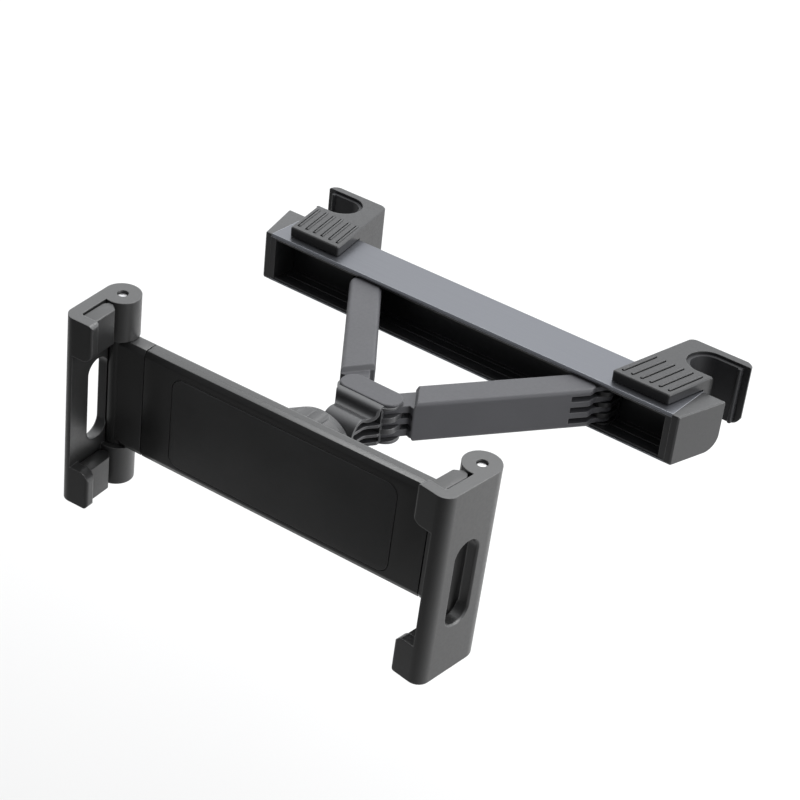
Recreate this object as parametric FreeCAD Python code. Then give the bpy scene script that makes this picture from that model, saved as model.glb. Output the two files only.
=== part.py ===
import FreeCAD, Part
import math
import os

os.makedirs("parts", exist_ok=True)

V = FreeCAD.Vector

# Frame: origin midway between the two pole notches at the rail's mid height,
# X along the rail, +Y away from the tablet, +Z up. Lengths in mm, angles in degrees.

# Headrest poles: how far in from the rail's ends, and how far behind its middle
POLE_RADIUS = 7.0
POLE_SET_IN = 6.3
POLE_SETBACK = 24.8

# Rail extrusion
RAIL_LENGTH = 194.0
RAIL_DEPTH = 23.7
RAIL_HEIGHT = 21.5
RAIL_WALL = 1.2
RAIL_CHAMFER = 0.7
WEB_FRONT = 14.05
WEB_THICKNESS = 1.15
BACK_SLOT = 6.6

# Plastic track in the rail's front channel
TRACK_GAP = 0.05
TRACK_WALL = 0.5
TRACK_FLOOR = 0.8
TRACK_LIP_SET_IN = 0.4
TRACK_LIP_DEPTH = 1.2
TRACK_OPENING = 17.3
TRACK_LINE_DEPTH = 0.25
TRACK_LINE_WIDTH = 0.6
TRACK_LINE_FIRST = 6.1
TRACK_LINE_PITCH = 4.5

# End caps
CAP_THICKNESS = 3.0
CAP_FLARE = 16.0
CAP_PLUG = 2.6
CAP_FIT = 0.05
CAP_LOW_RADIUS = 7.0
CAP_EDGE_RADIUS = 1.2
CAP_BEVEL = 0.5

# Pole hooks
LEFT_HOOK_DRAWN_IN = 1.9
HOOK_TOP = 15.2
HOOK_BOTTOM = -11.2
HOOK_RUN_GAP = 0.35
HOOK_SPLAY = 11.5
PAD_INSIDE_POLE = 23.6
PAD_WIDTH = 25.3
PAD_FRONT = -32.4
HOOK_BACK = 12.5
LEG_BEYOND_POLE = 14.0
LEG_CORNER = 4.0
HOOK_CORNER = 3.5
PAD_CORNER = 1.2
HOOK_LOW_RADIUS = 5.0
LINER_THICKNESS = 1.6
LINER_PROUD = 0.8
LINER_SHORT = 3.0
GROOVE_COUNT = 6
GROOVE_PITCH = 4.05
GROOVE_WIDTH = 1.5
GROOVE_DEPTH = 1.0
GROOVE_FRONT = -29.8
GROOVE_BACK = -11.0
FOOT_LENGTH = 26.0
FOOT_SHORT_OF_PLUG = 0.8
FOOT_HEIGHT = 15.0
FOOT_CLEARANCE = 0.3
NECK_HEIGHT = 5.6
SPRING_STOP_WIDTH = 6.0
HOOK_SPRING_RADIUS = 2.7
HOOK_SPRING_WIRE = 0.4
HOOK_SPRING_TURNS = 16

# Folding arms
ARM_LENGTH = 87.8
ARM_ANGLE = 54.3
ARM_WIDTH = 13.1
ARM_HEIGHT = 17.0
ARM_EDGE = 1.8
ARM_KNUCKLE = 4.2
ARM_KNUCKLE_HEIGHT = 15.9
ARM_KNUCKLE_END = 5.7
ARM_FULL_FROM = 8.0
SLOT_HEIGHT = 2.4
SLOT_PITCH = 4.8
RAIL_SLOTS = 3
RAIL_SLOT_END = 15.7
HUB_SLOTS = 2
HUB_SLOT_END = 9.4
NECK_ARM_HEIGHT = 13.0
NECK_ARM_WIDTH = 9.0
NECK_RADIUS = 4.7
SHOULDER_INNER = 14.5
SHOULDER_OUTER = 9.3
SHOULDER_RISE = 1.4
FIN_CLEARANCE = 0.12

# Sliding shoes
PIVOT_DEPTH = 6.6
SHOE_WIDTH = 10.6
SHOE_HEIGHT = 17.8
SHOE_PLATE = 0.75
SHOE_FRONT = 4.7
SHOE_BACK = 5.8
SHOE_BACK_WALL = 1.25
SHOE_NOSE_RADIUS = 4.2
SHOE_PIN_RADIUS = 1.7
PIN_FIT = 0.05

# Hub
HUB_X = 6.2
HUB_PIN_SPAN = 12.8
HUB_LENGTH = 26.6
HUB_DEPTH = 12.6
HUB_CORNER = 5.2
HUB_PLATE_Z = 7.6
HUB_PLATE_INNER = 6.65
HUB_CAP_TOP = 8.6
HUB_CAP_FRONT = -4.8
HUB_CAP_BACK = 6.1
HUB_CAP_EDGE = 0.6
HUB_PIN_RADIUS = 1.8
HUB_WEB = 0.9
HUB_WALL_Y = -4.95
BLOCK_TOP = 8.3
BLOCK_FRONT = -19.5
SHOULDER_FLAT = 1.4
SHOULDER_RADIUS = 2.1
VALLEY_Y = -9.5
VALLEY_Z = 4.4
BULGE_RADIUS = 5.4
BULGE_Y = -13.8
BULGE_Z = -0.7
BULGE_START = 2.2
BLOCK_HALF_BACK = 10.2
BLOCK_HALF_FRONT = 7.2
BLOCK_SKIN = 1.3
BLOCK_POCKET = 5.0
BLOCK_RIB = 1.1
BLOCK_RIB_Z = 0.5
BLOCK_RIB_PITCH = 4.0

# Ball joint
BALL_FORWARD = 34.1
BALL_DROP = 1.9
BALL_RADIUS = 8.0
STUD_RADIUS = 3.7
STUD_SOCKET = 8.0
SEAT_GAP = 0.08
SEAT_THICKNESS = 0.65
SEAT_OPENING = 57.0
SEAT_FRONT_HOLE = 4.0
CUP_RADIUS = 12.0
CUP_RIM = 1.6
CUP_BASE = 1.4
CUP_BASE_RADIUS = 15.5
NUT_RADIUS = 16.6
NUT_LOBES = 9
NUT_SCALLOP = 3.6
NUT_SCALLOP_DEPTH = 1.9
NUT_CLEARANCE = 0.3
NUT_FRONT = 5.6
NUT_LIP = 5.2
NUT_BACK = 6.4
NUT_MOUTH = 7.1
NUT_FLARE = 8.2
NUT_TAPER = 2.2

# Cradle: its own frame has the jaw pins' plane at y 0 and the bar's middle at z 0
CRADLE_PAN = 4.5
CRADLE_TILT = 2.0
CRADLE_ROLL = 2.45
BALL_BEHIND = 15.0
BAR_HALF = 61.2
BAR_HEIGHT = 46.8
BAR_FRONT = -4.0
BAR_SPLIT = -0.2
BAR_BACK = 3.6
BAR_BEVEL = 0.7
BAR_CORNER = 1.6
SLIDE_HEIGHT = 39.0
SLIDE_FRONT = -2.2
SLIDE_BACK = 1.8
SLIDE_FIT = 0.1
SLIDE_INNER_X = 12.0
HEAD_GAP = 0.2
PAD_LENGTH = 96.8
PAD_HEIGHT = 39.0
PAD_SHIFT = -0.6
PAD_RECESS = 0.9
PAD_FIT = 0.12
PAD_RADIUS = 5.0
SCREW_RADIUS = 2.2
SCREW_HEAD = 1.2
SCREW_SPREAD_X = 52.0
SCREW_SPREAD_Z = 19.0

# Jaws
JAW_PIN_X = 75.5
JAW_HEIGHT = 80.2
BARREL_RADIUS = 7.0
JAW_WALL = 4.8
JAW_DEPTH = 24.8
JAW_CORNER = 4.7
LIP_REACH = 6.2
LIP_THICKNESS = 4.4
LIP_END_RADIUS = 1.2
LIP_TOP_RADIUS = 1.8
LIP_LOW_RADIUS = 4.0
CLAW_HEIGHT = 15.6
JAW_PIN_RADIUS = 2.1
JAW_PIN_SET_IN = 0.8
MIDDLE_RADIUS = 4.6
MIDDLE_CLEARANCE = 0.4
BARREL_GAP = 0.25
JAW_SLOT_WIDTH = 11.0
JAW_SLOT_HEIGHT = 35.4
JAW_SLOT_BEVEL = 0.7
JAW_SLOT_Y = -9.8
JAW_SLOT_Z = -1.5
RIGHT_JAW_TOE = 10.0
LEFT_JAW_TOE = 1.0
CLAW_PAD_INNER = 4.4
CLAW_PAD_FROM = -7.8
CLAW_PAD_TOP = 1.0
CLAW_PAD_NECK = 1.6
CLAW_PAD_NECK_DROP = 3.4
EDGE_BREAK = 0.5

# Places that follow from the sizes above
RAIL_Y = -POLE_SETBACK
RAIL_FRONT = RAIL_Y - RAIL_DEPTH / 2
RAIL_BACK = RAIL_Y + RAIL_DEPTH / 2
RAIL_INNER = RAIL_HEIGHT / 2 - RAIL_WALL
POLE_X = RAIL_LENGTH / 2 - POLE_SET_IN
PAD_INNER_X = POLE_X - PAD_INSIDE_POLE
HOOK_REACH = POLE_X + LEG_BEYOND_POLE
FOOT_END_X = RAIL_LENGTH / 2 - CAP_PLUG - FOOT_SHORT_OF_PLUG
PIVOT_Y = RAIL_FRONT + PIVOT_DEPTH
ARM_RUN = ARM_LENGTH * math.cos(math.radians(ARM_ANGLE))
ARM_RISE = ARM_LENGTH * math.sin(math.radians(ARM_ANGLE))
HUB_Y = PIVOT_Y - ARM_RISE
SHOE_OFFSET = HUB_PIN_SPAN / 2 + ARM_RUN
BALL_CENTRE = V(HUB_X, HUB_Y - BALL_FORWARD, -BALL_DROP)
SEAT_ONE = BALL_RADIUS + SEAT_GAP
SEAT_TWO = SEAT_ONE + SEAT_THICKNESS + SEAT_GAP
CUP_SPHERE = SEAT_TWO + SEAT_THICKNESS + SEAT_GAP
NOTCH_RADIUS = POLE_RADIUS + LINER_THICKNESS
CRADLE_TURN = (
    FreeCAD.Rotation(V(0, 0, 1), CRADLE_PAN)
    * FreeCAD.Rotation(V(1, 0, 0), CRADLE_TILT)
    * FreeCAD.Rotation(V(0, 1, 0), CRADLE_ROLL)
)
CRADLE_ORIGIN = BALL_CENTRE - CRADLE_TURN.multVec(V(0, BALL_BEHIND, 0))


def corner_arc(before, corner, after, radius):
    """Start, middle and end of the arc that rounds a corner."""
    to_before = (before - corner).normalize()
    to_after = (after - corner).normalize()
    half = to_before.getAngle(to_after) / 2
    reach = radius / math.tan(half)
    centre = corner + (to_before + to_after).normalize() * (radius / math.sin(half))
    start = corner + to_before * reach
    end = corner + to_after * reach
    middle = centre + (corner - centre).normalize() * radius
    return start, middle, end


def rounded_face(corners):
    """Face from (u, v, radius) corners, a radius of 0 leaving the corner sharp."""
    points = [V(u, v, 0) for u, v, _ in corners]
    count = len(points)
    edges = []
    arcs = []
    for i, (_, _, radius) in enumerate(corners):
        if radius > 0:
            arcs.append(corner_arc(points[i - 1], points[i], points[(i + 1) % count], radius))
        else:
            arcs.append((points[i], None, points[i]))
    for i, (start, middle, end) in enumerate(arcs):
        if middle is not None:
            edges.append(Part.Arc(start, middle, end).toShape())
        follower = arcs[(i + 1) % count][0]
        if end.distanceToPoint(follower) > 1e-6:
            edges.append(Part.makeLine(end, follower))
    return Part.Face(Part.Wire(edges))


def rectangle(u0, u1, v0, v1, radius=0):
    """Rectangular face with equal corner radii."""
    return rounded_face([(u0, v0, radius), (u1, v0, radius), (u1, v1, radius), (u0, v1, radius)])


def prism_z(face, z0, z1):
    """Extrude a plan face (u = x, v = y) between two heights."""
    raised = face.copy()
    raised.translate(V(0, 0, z0))
    return raised.extrude(V(0, 0, z1 - z0))


def prism_x(face, x0, x1):
    """Extrude a side profile (u = y, v = z) along X."""
    solid = prism_z(face, x0, x1)
    return baked(solid, FreeCAD.Placement(V(0, 0, 0), FreeCAD.Rotation(V(1, 1, 1), 120)))


def prism_y(face, y0, y1):
    """Extrude a front profile (u = x, v = z) along Y."""
    solid = prism_z(face, -y1, -y0)
    return baked(solid, FreeCAD.Placement(V(0, 0, 0), FreeCAD.Rotation(V(1, 0, 0), 90)))


def box(x0, x1, y0, y1, z0, z1):
    """Plain block between six planes."""
    return Part.makeBox(x1 - x0, y1 - y0, z1 - z0, V(x0, y0, z0))


def baked(shape, placement):
    """Rigidly moved copy of a shape."""
    return shape.transformed(placement.toMatrix(), copy=True)


def moved(shape, x=0, y=0, z=0):
    """Copy of a shape shifted in the frame."""
    return baked(shape, FreeCAD.Placement(V(x, y, z), FreeCAD.Rotation()))


def mirrored(shape):
    """The other hand of a shape."""
    return shape.mirror(V(0, 0, 0), V(1, 0, 0))


def peg(x, y, z0, z1, radius):
    """Upright round peg or drill."""
    return Part.makeCylinder(radius, z1 - z0, V(x, y, z0))


def carved(shape, tools):
    """Shape with each tool cut away in turn."""
    for tool in tools:
        shape = shape.cut(tool)
    return shape


def one_solid(shape):
    """Fused and cleaned shape."""
    return shape.removeSplitter()


def keep(name, shape):
    """Write one node."""
    shape.exportStep("parts/" + name + ".step")


def in_cradle(shape):
    """Place a shape from the cradle's own frame."""
    return baked(shape, FreeCAD.Placement(CRADLE_ORIGIN, CRADLE_TURN))


# Rail

def make_rail_shell():
    """Aluminium extrusion: plates above and below a web, with a slot along the back."""
    half = RAIL_HEIGHT / 2
    front = RAIL_FRONT
    back = RAIL_BACK
    web0 = front + WEB_FRONT
    web1 = web0 + WEB_THICKNESS
    slot = BACK_SLOT / 2
    upper = [
        (web0, RAIL_INNER, 0),
        (front, RAIL_INNER, 0),
        (front, half - RAIL_CHAMFER, 0),
        (front + RAIL_CHAMFER, half, 0),
        (back, half, 0.8),
        (back, slot, 0),
        (back - RAIL_WALL, slot, 0),
        (back - RAIL_WALL, RAIL_INNER, 0.6),
        (web1, RAIL_INNER, 0.6),
    ]
    lower = [(u, -v, r) for u, v, r in reversed(upper)]
    return prism_x(rounded_face(upper + lower), -RAIL_LENGTH / 2, RAIL_LENGTH / 2)


def make_rail_track():
    """Dark liner with lips at the mouth and two fine lines along each side."""
    outer = RAIL_INNER - TRACK_GAP
    inner = outer - TRACK_WALL
    mouth = TRACK_OPENING / 2
    lip0 = RAIL_FRONT + TRACK_LIP_SET_IN
    lip1 = lip0 + TRACK_LIP_DEPTH
    floor1 = RAIL_FRONT + WEB_FRONT - TRACK_GAP
    floor0 = floor1 - TRACK_FLOOR
    lines = []
    for i in (1, 0):
        line0 = RAIL_FRONT + TRACK_LINE_FIRST + i * TRACK_LINE_PITCH
        line1 = line0 + TRACK_LINE_WIDTH
        deep = inner + TRACK_LINE_DEPTH
        lines += [(line1, inner, 0), (line1, deep, 0), (line0, deep, 0), (line0, inner, 0)]
    upper = [(floor0, inner, 0)] + lines + [
        (lip1, inner, 0),
        (lip1, mouth, 0),
        (lip0, mouth, 0),
        (lip0, outer, 0),
        (floor1, outer, 0),
    ]
    lower = [(u, -v, r) for u, v, r in reversed(upper)]
    end = RAIL_LENGTH / 2 - CAP_PLUG - CAP_FIT
    return prism_x(rounded_face(upper + lower), -end, end)


def make_right_cap():
    """End plate with a flared outer face and plugs into both chambers."""
    half = RAIL_HEIGHT / 2
    inner_x = RAIL_LENGTH / 2
    flare = RAIL_DEPTH * math.tan(math.radians(CAP_FLARE))
    outline = rounded_face([
        (RAIL_FRONT, -half, CAP_EDGE_RADIUS),
        (RAIL_BACK, -half, CAP_LOW_RADIUS),
        (RAIL_BACK, half, CAP_EDGE_RADIUS),
        (RAIL_FRONT, half, 0.6),
    ])
    block = prism_x(outline, inner_x, inner_x + CAP_THICKNESS + flare)
    wedge = rounded_face([
        (inner_x - 1, RAIL_FRONT - 1, 0),
        (inner_x + CAP_THICKNESS, RAIL_FRONT - 1, 0),
        (inner_x + CAP_THICKNESS, RAIL_FRONT, 0),
        (inner_x + CAP_THICKNESS + flare, RAIL_BACK, 0),
        (inner_x + CAP_THICKNESS + flare, RAIL_BACK + 1, 0),
        (inner_x - 1, RAIL_BACK + 1, 0),
    ])
    plate = block.common(prism_z(wedge, -half - 1, half + 1))
    slanted = V(math.cos(math.radians(CAP_FLARE)), -math.sin(math.radians(CAP_FLARE)), 0)
    rim = [e for f in plate.Faces if f.normalAt(0, 0).dot(slanted) > 0.999 for e in f.Edges]
    plate = plate.makeChamfer(CAP_BEVEL, rim)
    fit = RAIL_INNER - CAP_FIT
    web0 = RAIL_FRONT + WEB_FRONT
    front_plug = box(inner_x - CAP_PLUG, inner_x + 0.5, RAIL_FRONT + 0.15, web0 - CAP_FIT, -fit, fit)
    rear_plug = box(
        inner_x - CAP_PLUG, inner_x + 0.5,
        web0 + WEB_THICKNESS + CAP_FIT, RAIL_BACK - RAIL_WALL - CAP_FIT, -fit + 1, fit - 1,
    )
    return one_solid(plate.fuse([front_plug, rear_plug]))


def make_spring_stop():
    """Block at the middle of the rear chamber."""
    y0 = RAIL_FRONT + WEB_FRONT + WEB_THICKNESS
    y1 = RAIL_BACK - RAIL_WALL
    face = rectangle(y0, y1, -FOOT_HEIGHT / 2, FOOT_HEIGHT / 2, 0.5)
    return prism_x(face, -SPRING_STOP_WIDTH / 2, SPRING_STOP_WIDTH / 2)


# Pole hooks, built for the +X side

def splay_shift(y):
    """Sideways shift of a splayed side at a given y, counted from the pad's front."""
    return (y - PAD_FRONT) * math.tan(math.radians(HOOK_SPLAY))


def hook_outline():
    """Plan of the hook from the pad's front to the back leg's tip."""
    inner_back = PAD_INNER_X + splay_shift(HOOK_BACK)
    outer_front = PAD_INNER_X + PAD_WIDTH
    leg_x = outer_front + splay_shift(-NOTCH_RADIUS)
    return rounded_face([
        (PAD_INNER_X, PAD_FRONT, PAD_CORNER),
        (outer_front, PAD_FRONT, PAD_CORNER),
        (leg_x, -NOTCH_RADIUS, 0.8),
        (HOOK_REACH, -NOTCH_RADIUS + 0.01, 0),
        (HOOK_REACH, HOOK_BACK, LEG_CORNER),
        (inner_back, HOOK_BACK, HOOK_CORNER),
    ])


def notch_solid(radius, z0, z1, reach):
    """Open slot round the pole, running out sideways to reach."""
    x = POLE_X
    slot = box(x, reach, -radius, radius, z0, z1)
    return peg(x, 0, z0, z1, radius).fuse(slot)


def thumb_grooves():
    """Grooves across the pad, parallel to its splayed sides."""
    tools = []
    turn = FreeCAD.Rotation(V(0, 0, 1), -HOOK_SPLAY)
    length = (GROOVE_BACK - GROOVE_FRONT) / math.cos(math.radians(HOOK_SPLAY))
    first = PAD_INNER_X + PAD_WIDTH / 2 - GROOVE_PITCH * (GROOVE_COUNT - 1) / 2
    for i in range(GROOVE_COUNT):
        profile = rectangle(-GROOVE_WIDTH / 2, GROOVE_WIDTH / 2, 0, length, GROOVE_WIDTH * 0.45)
        start = V(first + i * GROOVE_PITCH + splay_shift(GROOVE_FRONT), GROOVE_FRONT, 0)
        tool = prism_z(profile, HOOK_TOP - GROOVE_DEPTH, HOOK_TOP + 1)
        tools.append(baked(tool, FreeCAD.Placement(start, turn)))
    return Part.makeCompound(tools)


def hook_side_profile():
    """Front view of the hook block, with its rounded lower corners."""
    x0 = PAD_INNER_X - 5
    return rounded_face([
        (x0, HOOK_TOP, 0),
        (x0, HOOK_BOTTOM, 0),
        (HOOK_REACH, HOOK_BOTTOM, HOOK_LOW_RADIUS),
        (HOOK_REACH, HOOK_TOP, 0),
    ])


def make_right_hook():
    """Thumb pad, notched block and the foot that runs in the rear chamber."""
    face = hook_outline()
    pad = prism_z(face, RAIL_HEIGHT / 2 + HOOK_RUN_GAP, HOOK_TOP)
    behind = box(0, HOOK_REACH + 1, RAIL_BACK + HOOK_RUN_GAP, HOOK_BACK + 1, HOOK_BOTTOM, HOOK_TOP)
    block = prism_z(face, HOOK_BOTTOM, HOOK_TOP).common(behind)
    block = block.common(prism_y(hook_side_profile(), RAIL_BACK, HOOK_BACK + 1))
    body = one_solid(pad.fuse(block))
    top_rim = [e for e in body.Edges if on_top(e, HOOK_TOP)]
    body = body.makeChamfer(EDGE_BREAK, top_rim)
    body = body.cut(notch_solid(NOTCH_RADIUS, HOOK_BOTTOM - 1, HOOK_TOP + 1, HOOK_REACH + 1))
    body = body.cut(thumb_grooves())
    foot_y0 = RAIL_FRONT + WEB_FRONT + WEB_THICKNESS + FOOT_CLEARANCE
    foot_y1 = RAIL_BACK - RAIL_WALL - FOOT_CLEARANCE
    foot = prism_x(
        rectangle(foot_y0, foot_y1, -FOOT_HEIGHT / 2, FOOT_HEIGHT / 2, 0.6),
        FOOT_END_X - FOOT_LENGTH, FOOT_END_X,
    )
    neck_x0 = PAD_INNER_X + splay_shift(RAIL_BACK) + 1
    neck = box(
        neck_x0, FOOT_END_X - 2, foot_y1 - 0.5,
        RAIL_BACK + HOOK_RUN_GAP + 0.5, -NECK_HEIGHT / 2, NECK_HEIGHT / 2,
    )
    return one_solid(body.fuse([neck, foot]))


def on_top(edge, z):
    """True for an edge that lies at height z."""
    bounds = edge.BoundBox
    return abs(bounds.ZMin - z) < 1e-4 and abs(bounds.ZMax - z) < 1e-4


def make_right_liner():
    """Soft strip round the notch, longer and a little proud on the back leg."""
    top = HOOK_TOP - 1.2
    bottom = HOOK_BOTTOM + 1.0
    front_end = PAD_INNER_X + PAD_WIDTH + splay_shift(-NOTCH_RADIUS) - 1.0
    back_end = HOOK_REACH - LINER_SHORT
    strip = notch_solid(NOTCH_RADIUS, bottom, top, back_end)
    strip = strip.cut(notch_solid(POLE_RADIUS, bottom - 1, top + 1, HOOK_REACH + 1))
    short = box(front_end, HOOK_REACH + 1, -NOTCH_RADIUS - 1, 0, bottom - 1, top + 1)
    bead = peg(back_end - LINER_PROUD, NOTCH_RADIUS - LINER_THICKNESS, bottom, top, LINER_PROUD)
    strip = strip.cut(short).fuse(bead)
    return one_solid(strip)


def coil(x0, x1, y, radius, wire, turns):
    """Round-wire spring along X."""
    pitch = (x1 - x0 - 2 * wire) / turns
    helix = Part.makeHelix(pitch, pitch * turns, radius)
    circle = Part.Wire(Part.makeCircle(wire, V(radius, 0, 0), V(0, 1, 0)))
    solid = Part.Wire(helix.Edges).makePipeShell([circle], True, True)
    place = FreeCAD.Placement(V(x0 + wire, y, 0), FreeCAD.Rotation(V(0, 1, 0), 90))
    return baked(solid, place)


def make_right_spring(drawn_in):
    """Compression spring between the stop and the foot of a hook that is drawn in by some way."""
    y = (RAIL_FRONT + WEB_FRONT + WEB_THICKNESS + RAIL_BACK - RAIL_WALL) / 2
    x0 = SPRING_STOP_WIDTH / 2 + 0.1
    x1 = FOOT_END_X - FOOT_LENGTH - 0.1 - drawn_in
    return coil(x0, x1, y, HOOK_SPRING_RADIUS, HOOK_SPRING_WIRE, HOOK_SPRING_TURNS)


# Arms: own frame has the shoe pivot at the origin and the hub pivot at +X

def fin_levels(count):
    """Middle heights of the slots of a knuckle."""
    return [(i - (count - 1) / 2) * SLOT_PITCH for i in range(count)]


def arm_outline(inner):
    """Plan of an arm whose inner side, towards the other arm, is +Y or -Y."""
    half = ARM_WIDTH / 2
    neck = NECK_ARM_WIDTH / 2
    step_in = ARM_LENGTH - SHOULDER_INNER
    step_out = ARM_LENGTH - SHOULDER_OUTER
    tip = ARM_LENGTH + NECK_RADIUS
    return rounded_face([
        (-ARM_KNUCKLE, -inner * ARM_KNUCKLE, ARM_KNUCKLE * 0.98),
        (ARM_FULL_FROM - 3, -inner * ARM_KNUCKLE, 3.0),
        (ARM_FULL_FROM, -inner * half, 2.0),
        (step_out, -inner * half, 1.0),
        (step_out + 0.6, -inner * neck, 0.5),
        (tip, -inner * neck, neck * 0.97),
        (tip, inner * neck, neck * 0.97),
        (step_in + 0.6, inner * neck, 0.5),
        (step_in, inner * half, 1.0),
        (ARM_FULL_FROM, inner * half, 2.0),
        (ARM_FULL_FROM - 3, inner * ARM_KNUCKLE, 3.0),
        (-ARM_KNUCKLE, inner * ARM_KNUCKLE, ARM_KNUCKLE * 0.98),
    ])


def shoulder_tool(inner, sign):
    """Slanted step that thins the arm down to its neck, above or below."""
    half = ARM_WIDTH
    run_in = ARM_LENGTH - SHOULDER_INNER - 0.3
    run_out = ARM_LENGTH - SHOULDER_OUTER - 0.3
    far = ARM_LENGTH + ARM_WIDTH
    slope = (run_out - run_in) / ARM_WIDTH
    wires = []
    for z, back in ((NECK_ARM_HEIGHT / 2, 0), (ARM_HEIGHT / 2 + 0.5, SHOULDER_RISE)):
        near_in = run_in - back - slope * (half - ARM_WIDTH / 2)
        near_out = run_out - back + slope * (half - ARM_WIDTH / 2)
        points = [
            V(near_in, inner * half, sign * z),
            V(near_out, -inner * half, sign * z),
            V(far, -inner * half, sign * z),
            V(far, inner * half, sign * z),
        ]
        wires.append(Part.makePolygon(points + [points[0]]))
    return Part.makeLoft(wires, True, True)


def make_arm(inner):
    """Straight bar with a slotted knuckle at each end."""
    half = ARM_WIDTH / 2
    tall = ARM_HEIGHT / 2
    bar = prism_x(rectangle(-half, half, -tall, tall, ARM_EDGE), -NECK_RADIUS, ARM_LENGTH + 2 * NECK_RADIUS)
    arm = bar.common(prism_z(arm_outline(inner), -tall, tall))
    low = ARM_KNUCKLE_HEIGHT / 2
    trims = [
        box(-10, ARM_KNUCKLE_END, -half - 1, half + 1, low, tall + 1),
        box(-10, ARM_KNUCKLE_END, -half - 1, half + 1, -tall - 1, -low),
    ]
    arm = carved(arm, [shoulder_tool(inner, 1), shoulder_tool(inner, -1)] + trims)
    slots = []
    for z in fin_levels(RAIL_SLOTS):
        slots.append(box(-10, RAIL_SLOT_END, -half - 1, half + 1, z - SLOT_HEIGHT / 2, z + SLOT_HEIGHT / 2))
    for z in fin_levels(HUB_SLOTS):
        start = ARM_LENGTH - HUB_SLOT_END
        slots.append(box(start, ARM_LENGTH + 9, -half - 1, half + 1, z - SLOT_HEIGHT / 2, z + SLOT_HEIGHT / 2))
    slots.append(peg(0, 0, -tall - 1, tall + 1, SHOE_PIN_RADIUS + PIN_FIT))
    slots.append(peg(ARM_LENGTH, 0, -tall - 1, tall + 1, HUB_PIN_RADIUS + PIN_FIT))
    return one_solid(carved(arm, slots))


def make_left_arm():
    """Arm from the left shoe to the hub's left pin."""
    turn = FreeCAD.Rotation(V(0, 0, 1), -ARM_ANGLE)
    return baked(make_arm(1), FreeCAD.Placement(V(HUB_X - SHOE_OFFSET, PIVOT_Y, 0), turn))


def make_right_arm():
    """Arm from the right shoe to the hub's right pin."""
    turn = FreeCAD.Rotation(V(0, 0, 1), 180 + ARM_ANGLE)
    return baked(make_arm(-1), FreeCAD.Placement(V(HUB_X + SHOE_OFFSET, PIVOT_Y, 0), turn))


def make_shoe():
    """Runner with plates above and below the arm, a back wall and three fins."""
    half = SHOE_WIDTH / 2
    tall = SHOE_HEIGHT / 2
    frame = prism_x(rectangle(-SHOE_FRONT, SHOE_BACK, -tall, tall, 0.3), -half, half)
    hollow = box(
        -half - 1, half + 1, -SHOE_FRONT - 1, SHOE_BACK - SHOE_BACK_WALL,
        -tall + SHOE_PLATE, tall - SHOE_PLATE,
    )
    plan = rounded_face([
        (-half, SHOE_BACK, 0),
        (-half, -SHOE_FRONT, SHOE_NOSE_RADIUS),
        (half, -SHOE_FRONT, SHOE_NOSE_RADIUS),
        (half, SHOE_BACK, 0),
    ])
    shoe = frame.cut(hollow).common(prism_z(plan, -tall, tall))
    thin = SLOT_HEIGHT / 2 - FIN_CLEARANCE
    fins = [prism_z(plan, z - thin, z + thin) for z in fin_levels(RAIL_SLOTS)]
    shoe = shoe.fuse(fins)
    return one_solid(shoe.cut(peg(0, 0, -tall - 1, tall + 1, SHOE_PIN_RADIUS)))


def make_shoe_pin():
    """Pin from plate to plate of a shoe."""
    tall = SHOE_HEIGHT / 2 - 0.1
    return peg(0, 0, -tall, tall, SHOE_PIN_RADIUS)


# Hub: own frame has its origin midway between the two pins

def hub_plan(grow=0):
    """Outline shared by the hub's plates, fins and caps."""
    half = HUB_LENGTH / 2 + grow
    deep = HUB_DEPTH / 2 + grow
    return rectangle(-half, half, -deep, deep, HUB_CORNER)


def block_profile(inset):
    """Side profile of the front block: wall, shoulder, valley, bulge and chin."""
    low = -HUB_PLATE_Z + inset
    top = BLOCK_TOP - inset
    back = HUB_WALL_Y - inset
    round_over = SHOULDER_RADIUS - inset
    bend = round_over * (1 - math.cos(math.radians(45)))
    edge_y = HUB_WALL_Y - SHOULDER_FLAT
    face_y = edge_y - round_over
    bulge = BULGE_RADIUS - inset
    nose = math.radians(20)
    shoulder0 = V(edge_y, top, 0)
    shoulder1 = V(face_y, top - round_over, 0)
    valley = V(VALLEY_Y + inset * 0.7, VALLEY_Z - inset * 0.7, 0)
    rise0 = V(BULGE_Y + BULGE_START, BULGE_Z + math.sqrt(bulge ** 2 - BULGE_START ** 2), 0)
    rise1 = V(BULGE_Y - bulge * math.cos(nose), BULGE_Z + bulge * math.sin(nose), 0)
    curves = [
        Part.Arc(shoulder0, V(face_y + bend, top - bend, 0), shoulder1),
        Part.Arc(shoulder1, valley, rise0),
        Part.Arc(rise0, V(BULGE_Y, BULGE_Z + bulge, 0), rise1),
    ]
    points = [
        rise1,
        V(BLOCK_FRONT + inset, BULGE_Z, 0),
        V(BLOCK_FRONT + inset + 0.6, low + 0.8, 0),
        V(BLOCK_FRONT + inset + 1.6, low, 0),
        V(back, low, 0),
        V(back, top, 0),
        shoulder0,
    ]
    lines = [Part.makeLine(a, b) for a, b in zip(points, points[1:])]
    return Part.Face(Part.Wire([curve.toShape() for curve in curves] + lines))


def block_taper():
    """Plan that narrows the block towards the stud."""
    front = BLOCK_FRONT - 2
    return rounded_face([
        (-BLOCK_HALF_BACK, HUB_WALL_Y + 1, 0),
        (-BLOCK_HALF_BACK, HUB_WALL_Y - 2.4, 0),
        (-BLOCK_HALF_FRONT, BULGE_Y + 2, 4.0),
        (-BLOCK_HALF_FRONT, front, 0),
        (BLOCK_HALF_FRONT, front, 0),
        (BLOCK_HALF_FRONT, BULGE_Y + 2, 4.0),
        (BLOCK_HALF_BACK, HUB_WALL_Y - 2.4, 0),
        (BLOCK_HALF_BACK, HUB_WALL_Y + 1, 0),
    ])


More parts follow.
